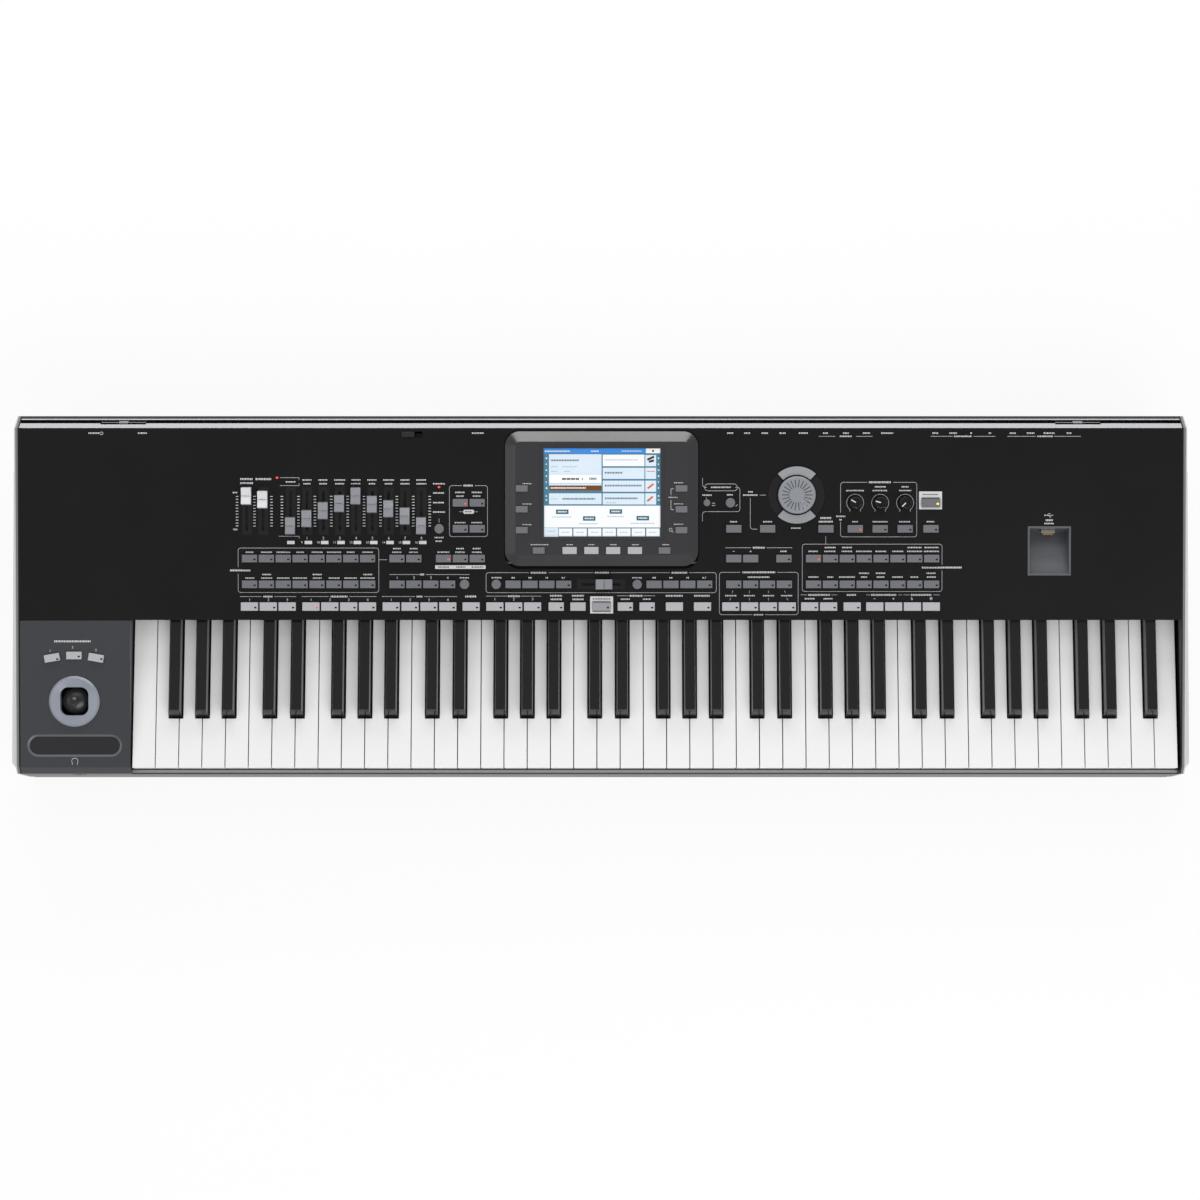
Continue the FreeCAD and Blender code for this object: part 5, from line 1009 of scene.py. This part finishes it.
RIGHTWARD, LEFTWARD = -math.pi / 2, math.pi / 2
heads, signs = [], []
for first in (-88.2, 53.9):
    for shift in (-0.9, 0.9):
        heads.append(on_panel(first + shift, 42.6, 0, LEFTWARD))
        heads.append(on_panel(first + 17 + shift, 42.6, 0, RIGHTWARD))
    heads += [on_panel(first + 34.4, 42.6, 0, LEFTWARD), on_panel(first + 49.6, 42.6, 0, RIGHTWARD)]
    signs.append([(first + 32.8, 41.6), (first + 32.8, 43.6)])
    signs.append([(first + 51.0, 41.4), (first + 52.4, 43.8)])
ink_pieces.append(stamp(arrow_head(1.2), heads))
for u, v in ((134.2, 69.2), (276.4, 21.5)):
    signs += flat_line(v, u - 1.0, u + 1.0)
for u, v in ((151.2, 69.2), (295.4, 21.5)):
    signs += flat_line(v, u - 1.0, u + 1.0) + [[(u, v - 1.0), (u, v + 1.0)]]
signs += [[(313.6, 20.2), (313.6, 23.2)], arc_path(313.9, 21.0, 0.8, -90, 90)]
signs += [[(332.8, 20.2), (332.8, 22.9)], [(334.0, 20.4), (334.0, 23.1)]]
signs += flat_line(21.1, 332.1, 334.7) + flat_line(22.2, 332.1, 334.7)
signs += [arc_path(-502.8, 188.2, 1.5, 125, 415, 16), [(-502.8, 188.4), (-502.8, 190.2)]]
signs += [[(448.0, 105.6), (456.4, 105.6)], [(450.0, 105.6), (451.6, 107.2), (453.4, 107.2)],
          [(451.2, 105.6), (452.8, 104.0), (454.4, 104.0)], arc_path(448.0, 105.6, 0.6, 0, 360, 10)]
signs += [arc_path(113.9, 116.8, 1.3, 0, 180, 8), [(112.3, 115.4), (115.5, 115.4)]]
signs += [[(106.6, 123.6), (106.6, 121.0)], [(136.0, 114.4), (138.2, 116.6)]]
signs += [arc_path(-531.0, -142.6, 3.1, -40, 220, 16)]
signs += [[(-533.6, -144.2), (-533.6, -146.4)], [(-528.4, -144.2), (-528.4, -146.4)]]
ink_pieces.append(ink(signs, 0.5, panel))
panel_print = join(ink_pieces)
dress(panel_print, "panel_print", "case", print_white)
print("print faces:", len(panel_print.data.polygons))

# %% [markdown]
# ## White patches
# Some places are printed solid: the label boxes under the sliders, the bar under the memory keys, and
# the thick frames around the start and standby keys. A frame is a plate with its middle taken out.


# %% White patches and thick frames
def thick_frame(left, right, low, high, inner):
    """A flat plate with a window, drawn as four bars so that its middle stays open."""
    in_left, in_right, in_low, in_high = inner
    bars = ((left, right, in_high, high), (left, right, low, in_low), (left, in_left, in_low, in_high),
            (in_right, right, in_low, in_high))
    pieces = []
    for begin, end, bottom, top in bars:
        plate = window(end - begin, top - bottom, 0.15, 0.05)
        pieces.append(stamp(plate, [on_panel((begin + end) / 2, (bottom + top) / 2)]))
    return pieces


patches = [stamp(window(7.5, 3.3, 0.3, 0.05), [on_panel(u, v) for u, v in white_boxes])]
patches.append(stamp(window(50.8, 3.7, 0.6, 0.05), [on_panel(-141.4, 53.4)]))
patches.append(stamp(window(10.8, 4.1, 1.4, 0.05), [on_panel(-133.0, 109.2)]))
patches += thick_frame(-10.5, 12.6, 6.6, 23.9, (-8.2, 10.2, 8.4, 18.7))
patches += thick_frame(321.0, 344.1, 111.6, 129.6, (323.6, 341.6, 113.6, 123.4))
white_patches = join(patches)
dress(white_patches, "white_patches", "case", print_white)
dark_ink = moulded("dark_ink", tone(40, 40, 42), 0.5, 2500, 0.1, 0.1, 0.002)
dark_words = ink(word(1.0, 21.3, 18) + word(332.6, 126.6, 16) + word(-158, 53.4, 12) + word(-141, 53.4, 9)
                 + word(-124, 53.4, 12) + word(-133, 109.2, 7), 1.2, on_panel(0, 0, 0.06))
dress(dark_words, "dark_words", "case", dark_ink)
print("patches joined:", len(white_patches.data.polygons), "faces")

# %% Small lamps beside the print
lamp_places = {
    "lit": (red_lamp, [(-326.1, 143.5), (-162.85, 134.0)]),
    "dark": (lamp_window, [(-162.85, 124.6), (-162.85, 114.9), (-162.85, 105.4)]),
}
for name, (finish, spots) in lamp_places.items():
    piece = stamp(window(2.2, 1.6, 0.5, 0.12), [on_panel(u, v) for u, v in spots])
    dress(piece, f"panel_lamps_{name}", "case", finish)
print("panel lamps:", sum(len(spots) for finish, spots in lamp_places.values()))

# %% [markdown]
# ## Print on the screen housing
# The housing tilts up with the screen, so its own print is a separate piece on the same body, drawn at
# the height of the housing's face.

# %% Housing print
HOUSING_FACE = 9.0
face_plane = on_panel(0, 0, HOUSING_FACE)
face_words = []
for v in (137.2, 116.8, 96.1):
    put(face_words, (-74.0, v, 9))
for v in (138.1, 116.9, 96.5):
    put(face_words, (78.4, v, 9))
put(face_words, (72.9, 123.5, 9), (-61.3, 75.9, 18), (65.4, 75.9, 7))
for index in range(4):
    put(face_words, (-30.7 + 21.9 * index, 75.9, 7))
bracket = steep_line(70.7, 132.1, 126.0, 121.0, 111.2)
bracket += flat_line(132.1, 73.5, 70.7) + flat_line(111.2, 70.7, 73.5)
bracket += [arc_path(70.4, 91.0, 1.5, 0, 360, 16), [(71.5, 89.9), (73.2, 88.2)]]
housing_print = join([ink(face_words, 1.0, face_plane), ink(bracket, 0.5, face_plane)])
dress(housing_print, "housing_print", "display", print_white)
print("housing print faces:", len(housing_print.data.polygons))

# %% [markdown]
# ## The lit screen
# The screen shows a page of boxes: a blue title bar, a large box on the left, four rows with small
# pictures on the right, a white field with four badges, and a row of tabs. Every colour is a
# finish that gives half its light itself. Words on the page are dashes again.


# %% Screen plates
SCREEN_LEFT, SCREEN_LOW, GLASS = -57.25, 83.9, 6.0


def lit(name, *levels):
    half = tuple(level / 2 for level in tone(*levels)[:3]) + (1.0,)
    return glowing(name, half, 1.0)


def screen_plates(name, finish, boxes, layer):
    """Plates on the glass, each given by its left, lower edge, width and height."""
    pieces = []
    for left, low, wide, tall in boxes:
        place = on_panel(SCREEN_LEFT + left + wide / 2, SCREEN_LOW + low + tall / 2, GLASS + 0.04 * layer)
        pieces.append(stamp(window(wide, tall, 0.12, 0.04), [place]))
    return dress(join(pieces), name, "display", finish)


ROWS = (71.0, 58.2, 45.3, 32.5)
TABS = [15.3 + 14.65 * index for index in range(7)]
screen_plates("screen_ground", lit("lit_teal", 74, 126, 148), [(0, 0, 117.4, 88.8)], 0)
screen_plates("screen_title", lit("lit_blue", 58, 144, 232), [(0, 83.9, 102.5, 4.9)], 1)
pale_boxes = [(5.4, 63.0, 52.8, 20.0), (5.4, 51.7, 52.8, 1.8), (5.4, 32.8, 52.8, 10.9)]
pale_boxes += [(0.5, 0.0, 14.2, 9.2)] + [(59.4, low, 41.9, 11.2) for low in ROWS[1:]]
pale_boxes += [(102.2, low, 10.9, 11.2) for low in ROWS]
screen_plates("screen_pale", lit("lit_pale", 222, 236, 249), pale_boxes, 1)
white_fields = [(5.4, 53.8, 52.8, 9.0), (59.4, ROWS[0], 41.9, 11.6), (0.6, 9.4, 116.7, 21.9)]
white_fields += [(left, 0.6, 13.4, 7.8) for left in TABS] + [(102.8, 84.0, 14.4, 4.7)]
screen_plates("screen_white", lit("lit_white", 250, 251, 252), white_fields, 1)
screen_plates("screen_bar", lit("lit_brown", 118, 68, 16), [(6.0, 46.6, 52.2, 4.9)], 1)
badge_corners = ((12.4, 22.9), (39.5, 16.2), (66.3, 23.2), (93.4, 16.5))
badges = [(left, low, 12.6, 4.5) for left, low in badge_corners]
screen_plates("screen_badges", lit("lit_badge", 44, 100, 120), badges, 2)
print("screen plates done")

# %% Words and small pictures on the screen
glass_plane = on_panel(SCREEN_LEFT, SCREEN_LOW, GLASS + 0.13)


def screen_ink(name, finish, drawings):
    pieces = [ink(paths, width, glass_plane) for paths, width in drawings]
    return dress(join(pieces), name, "display", finish)


lower_badge = [word(left + wide / 2, low + tall / 2, 9) for left, low, wide, tall in badges]
white_words = word(13.8, 86.1, 25) + word(51.5, 86.1, 8) + word(25.1, 49.1, 36) + sum(lower_badge, [])
for v in (37, 41, 49, 55, 61, 67, 73, 79):
    put(white_words, (3.0, v, 1.8), (115.7, v, 1.8))
screen_ink("screen_white_words", lit("lit_white_ink", 244, 248, 250),
           [(white_words, 1.5), (word(88.4, 86.2, 20), 1.0)])
dark_rows = word(21.3, 76.9, 28) + word(35.5, 38.2, 33) + word(70.5, 64.4, 18) + word(80.0, 51.5, 37)
put(dark_rows, (78.1, 38.7, 33))
screen_ink("screen_dark_words", lit("lit_dark_ink", 62, 98, 118),
           [(dark_rows, 1.7), (word(49.5, 58.4, 7), 2.2)])
black_dashes = flat_line(58.2, 18.5, 22.4, 23.0, 26.9, 27.5, 31.4, 32.0, 35.6, 38.6, 39.4)
pictures = [[(104.2, 77.4), (111.0, 80.6)], [(105.8, 75.4), (110.9, 76.8)]]
screen_ink("screen_black_marks", lit("lit_black", 22, 30, 36),
           [(black_dashes, 1.7), (pictures, 2.2), (flat_line(86.3, 109.0, 111.0), 1.8)])
soft_rows = word(10.8, 70.5, 7) + word(26.3, 70.5, 15) + word(10.6, 65.9, 6) + word(23.7, 65.9, 6)
put(soft_rows, (10.5, 38.2, 7), (78.4, 77.3, 34), (68.1, 34.3, 10), (18.6, 20.0, 20))
put(soft_rows, (45.0, 13.2, 19), (72.3, 20.4, 17), (99.3, 13.6, 24), (7.6, 5.6, 7))
soft_rows += [path for left in TABS for path in word(left + 6.7, 4.6, 8)]
screen_ink("screen_soft_words", lit("lit_soft_ink", 170, 192, 208), [(soft_rows, 1.0)])
orange = [[(104.5, 48.6), (110.4, 53.2)], [(104.2, 35.8), (109.8, 40.6)]]
screen_ink("screen_orange", lit("lit_orange", 226, 98, 40),
           [(orange, 1.9), (flat_line(65.8, 103.6, 112.0), 0.7)])
print("screen drawn")

# %% [markdown]
# ## Stand clips in the rear rail
# A music stand hooks into two slots of the rail. A thin spring strip with a wider bright tab bridges
# each slot, set a little below the slanted face.

# %% Stand clips
CLIP_U = 482.0
slant_middle = rail_top + Vector(down_slant) * 11.5 * MM - Vector((0, 1, 1)) * 1.1 * MM
clips = []
for side in (-1, 1):
    seat = Matrix.Translation(slant_middle + Vector((side * CLIP_U * MM, 0, 0)))
    seat = seat @ Matrix.Rotation(math.radians(-45), 4, "X") @ Matrix.Scale(MM, 4)
    clips.append(stamp(window(45.0, 0.9, 0.2, 0.5), [seat]))
    clips.append(stamp(window(9.6, 3.6, 0.5, 1.0), [seat]))
dress(join(clips), "stand_clips", "case", bare_steel)
print("clips at", CLIP_U, "mm on both sides")

# %% [markdown]
# ## Socket rings
# Each jack is held from outside by a nickel nut, and each round socket has a plated shell. The record
# gives every socket's axis and radius, so a ring is made for each and set just proud of its mouth.
# The two jacks in the front edge are lined from inside, so nothing stands out there.

# %% Rings on the sockets
rings = []
for mount in record["mounts"]:
    if mount["kind"] != "bore":
        continue
    radius = mount["dims"]["r_mm"]
    facing = Vector(mount["axis"])
    seat = Matrix.Translation(Vector(mount["pos_m"]) + facing * 0.3 * MM)
    seat = seat @ facing.to_track_quat("Z", "Y").to_matrix().to_4x4() @ Matrix.Scale(MM, 4)
    if facing.y > 0:
        rings.append(stamp(arc_plate(radius + 0.1, radius + 1.3, 0.0, 2 * math.pi, 0.3), [seat]))
    else:
        sunk = seat @ Matrix.Translation((0, 0, -2.0))
        rings.append(stamp(arc_plate(radius - 0.7, radius - 0.05, 0.0, 2 * math.pi, 1.2), [sunk]))
dress(join(rings), "socket_rings", "case", nickel)

# %% [markdown]
# ## Rim of the ribbon pad
# A sloped rim leads down from the block to the touch pad. It is a rounded plate with its middle inset and lowered,
# then opened and thickened. Its grey is paler than the block's: a painted highlight, added to the light its slope
# catches.

# %% Ribbon rim
pad_low, pad_high = cap_boxes("ribbon_strip")[0]
pad_size = pad_high - pad_low
RIM, RIM_DROP = 2.3, 0.9
rim = flat_sheet(pad_size.x + 2 * RIM, pad_size.y + 2 * RIM)
bpy.ops.mesh.bevel(offset=pad_size.y / 2 + RIM - 0.05, segments=12, affect="VERTICES")
bpy.ops.mesh.select_all(action="SELECT")
bpy.ops.mesh.inset(thickness=RIM, depth=-RIM_DROP)
bpy.ops.mesh.delete(type="FACE")
bpy.ops.object.mode_set(mode="OBJECT")
sheet = rim.modifiers.new("thickness", "SOLIDIFY")
sheet.thickness = 0.3
bpy.ops.object.modifier_apply(modifier=sheet.name)
rim.data.transform(on_panel((pad_low.x + pad_high.x) / 2, (pad_low.y + pad_high.y) / 2, 0.02))
# The paler grey of the rim is a painted highlight.
dress(rim, "ribbon_rim", "case", well_plastic)
print("rim around a pad of", [round(size, 1) for size in pad_size])

# %% [markdown]
# ## Contacts
# Inside the sockets are plated contacts: five round ones in each data socket, three in the microphone
# socket, blades in the mains inlet, and tongues in the flat sockets and in the well on the panel.


# %% Contacts of the sockets
def facing_seat(x, y, z, facing):
    """A place whose own up direction looks along the given way, in millimetres."""
    turn = Vector(facing).to_track_quat("Z", "Y").to_matrix().to_4x4()
    return Matrix.Translation(Vector((x, y, z)) * MM) @ turn @ Matrix.Scale(MM, 4)


REARWARD, FORWARD = (0, 1, 0), (0, -1, 0)
SOCKET_Z, SOCKET_MOUTH, INLET_X = 62.0, 178.8, -461.6


def rear_seat(x, depth, z):
    return facing_seat(x, SOCKET_MOUTH - depth, z, REARWARD)


round_spots = []
for x in [204.2] + [226.6 + 20.6 * index for index in range(3)]:
    for turn in (-90, -45, 0, 45, 90):
        along, up = 5.0 * math.sin(math.radians(turn)), 5.0 * math.cos(math.radians(turn))
        round_spots.append(rear_seat(x + along, 9.0, SOCKET_Z - up))
for x, z in ((471.9, 57.4), (467.9, 64.2), (475.9, 64.2)):
    round_spots.append(rear_seat(x, 14.0, z))
contacts = [stamp(window(1.5, 1.5, 0.7, 1.2), round_spots)]
blades = [rear_seat(INLET_X + side * 7.0, 16.0, 60.4) for side in (-1, 1)]
blades.append(rear_seat(INLET_X, 16.0, 65.4))
contacts.append(stamp(window(2.0, 4.0, 0.3, 11.0), blades))
contacts.append(stamp(window(10.6, 1.8, 0.3, 6.0), [rear_seat(130.5, 8.0, 63.2)]))
contacts.append(stamp(window(5.4, 3.0, 0.3, 6.0), [rear_seat(147.7, 9.0, 62.0)]))
dress(join(contacts), "socket_contacts", "case", gold_plate)
print(len(round_spots), "round contacts")

# %% Socket of the well
well_low, well_high = cap_boxes("usb_well")[0]
well_u, well_socket_z, well_wall = (well_low.x + well_high.x) / 2, 100.96, 65.1
shell_seat = facing_seat(well_u, well_wall, well_socket_z, FORWARD)
shell = stamp(trough_liner(13.8, 6.4, 12.6), [shell_seat @ Matrix.Diagonal((1, 1, 32, 1))])
dress(shell, "well_socket_shell", "case", nickel)
tongue_seat = facing_seat(well_u, well_wall + 1.0, well_socket_z + 1.0, FORWARD)
tongue = stamp(window(10.6, 1.9, 0.3, 6.4), [tongue_seat])
dress(tongue, "well_socket_tongue", "case", gold_plate)
print("well socket at", round(well_u, 1), "mm")

# %% [markdown]
# ## Boot of the joystick
# A smooth rubber dome closes the opening around the stick. It is a part of a ball centred on the
# joint, so it stays clear of the collar at every tilt.

# %% Joystick boot
BOOT_RADIUS, BOOT_REACH = 16.3, math.radians(62)
let_go()
bpy.ops.mesh.primitive_uv_sphere_add(segments=64, ring_count=48, radius=BOOT_RADIUS)
boot = bpy.context.object
edit(boot)
bpy.ops.mesh.select_all(action="DESELECT")
bpy.ops.object.mode_set(mode="OBJECT")
for face in boot.data.polygons:
    face.select = face.center.z < BOOT_RADIUS * math.cos(BOOT_REACH)
take(boot)
bpy.ops.object.mode_set(mode="EDIT")
bpy.ops.mesh.delete(type="FACE")
bpy.ops.object.mode_set(mode="OBJECT")
skin = boot.modifiers.new("thickness", "SOLIDIFY")
skin.thickness = 0.35
bpy.ops.object.modifier_apply(modifier=skin.name)
bpy.ops.object.shade_smooth_by_angle(angle=math.radians(40))
pivot = to_panel @ Vector(joint_named["joystick_fore_aft"]["pos_m"])
boot.data.transform(on_panel(*pivot))
dress(boot, "joystick_boot", "joystick_stick", boot_rubber)
print("boot faces:", len(boot.data.polygons))

# %% [markdown]
# ## Floor, lamps and camera
# The photograph looks almost straight down on a white ground. A wide pale floor, four large soft lamps
# and a pale world give its even light, and the floor adds plain white for the camera while it keeps
# the contact shadow.

# %% Floor
let_go()
bpy.ops.mesh.primitive_plane_add(size=14)
floor = bpy.context.object
floor.name = "studio_floor"
floor_paint = bpy.data.materials.new("floor_paint")
floor_paint.use_nodes = True
tree = floor_paint.node_tree
shader = tree.nodes["Principled BSDF"]
shader.inputs["Roughness"].default_value = 0.9
spot = add(tree, "TexCoord").outputs["Object"]
mottle = add(tree, "TexNoise", {"Vector": spot, "Scale": 3.0}).outputs["Fac"]
paper = add(tree, "MapRange", {"Value": mottle, "To Min": 0.86, "To Max": 0.9}).outputs["Result"]
tree.links.new(paper, shader.inputs["Base Color"])
ray = add(tree, "LightPath").outputs
seen = sums(tree, "MAXIMUM", ray["Is Camera Ray"], ray["Is Glossy Ray"])
seen = sums(tree, "MAXIMUM", seen, ray["Is Transmission Ray"])
part_seen = sums(tree, "MULTIPLY", seen, 0.88)
white_light = add(tree, "Emission", {"Strength": 1.0}).outputs[0]
blend_paint = add(tree, "MixShader", {0: part_seen, 1: shader.outputs[0], 2: white_light}).outputs[0]
tree.links.new(blend_paint, tree.nodes["Material Output"].inputs["Surface"])
floor.data.materials.append(floor_paint)
floor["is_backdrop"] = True
print("floor at z", floor.location.z)

# %% World and lamps
studio = bpy.data.worlds.new("studio")
studio.use_nodes = True
studio.node_tree.nodes["Background"].inputs["Color"].default_value = (1.0, 1.0, 1.0, 1.0)
studio.node_tree.nodes["Background"].inputs["Strength"].default_value = 0.46
bpy.context.scene.world = studio


def soft_lamp(name, place, width, depth, power):
    lamp = bpy.data.lights.new(name, "AREA")
    lamp.shape = "RECTANGLE"
    lamp.size, lamp.size_y = width, depth
    lamp.energy = power
    holder = bpy.data.objects.new(name, lamp)
    holder.location = place
    holder.rotation_euler = (-Vector(place)).to_track_quat("-Z", "Y").to_euler()
    bpy.context.collection.objects.link(holder)
    return holder


soft_lamp("rear_lamp", (-0.2, 1.5, 2.0), 2.8, 1.0, 8.0)
soft_lamp("low_lamp", (0.0, 2.2, 0.95), 3.0, 0.7, 34.0)
soft_lamp("side_lamp", (-1.9, -0.3, 1.6), 1.2, 1.2, 6.0)
soft_lamp("front_lamp", (0.6, -1.6, 1.7), 2.4, 1.2, 30.0)

# %% Camera
ELEVATION, DISTANCE = math.radians(83.2), 2.7
aim = on_panel(-0.6, 20.2).to_translation()
lens = bpy.data.cameras.new("studio_camera")
lens.sensor_fit = "HORIZONTAL"
lens.sensor_width = 36.0
lens.lens = 80.3
camera = bpy.data.objects.new("studio_camera", lens)
camera.location = aim + Vector((0, -math.cos(ELEVATION), math.sin(ELEVATION))) * DISTANCE
camera.rotation_euler = (math.pi / 2 - ELEVATION, 0, 0)
bpy.context.collection.objects.link(camera)
bpy.context.scene.camera = camera
bpy.context.scene.view_settings.view_transform = "Standard"
print("camera at", [round(x, 3) for x in camera.location])

# %% Sizes and finish
boxes = {"cad": [list(corner) for corner in cad_box], "visual": [list(corner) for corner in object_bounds()]}
print(boxes)
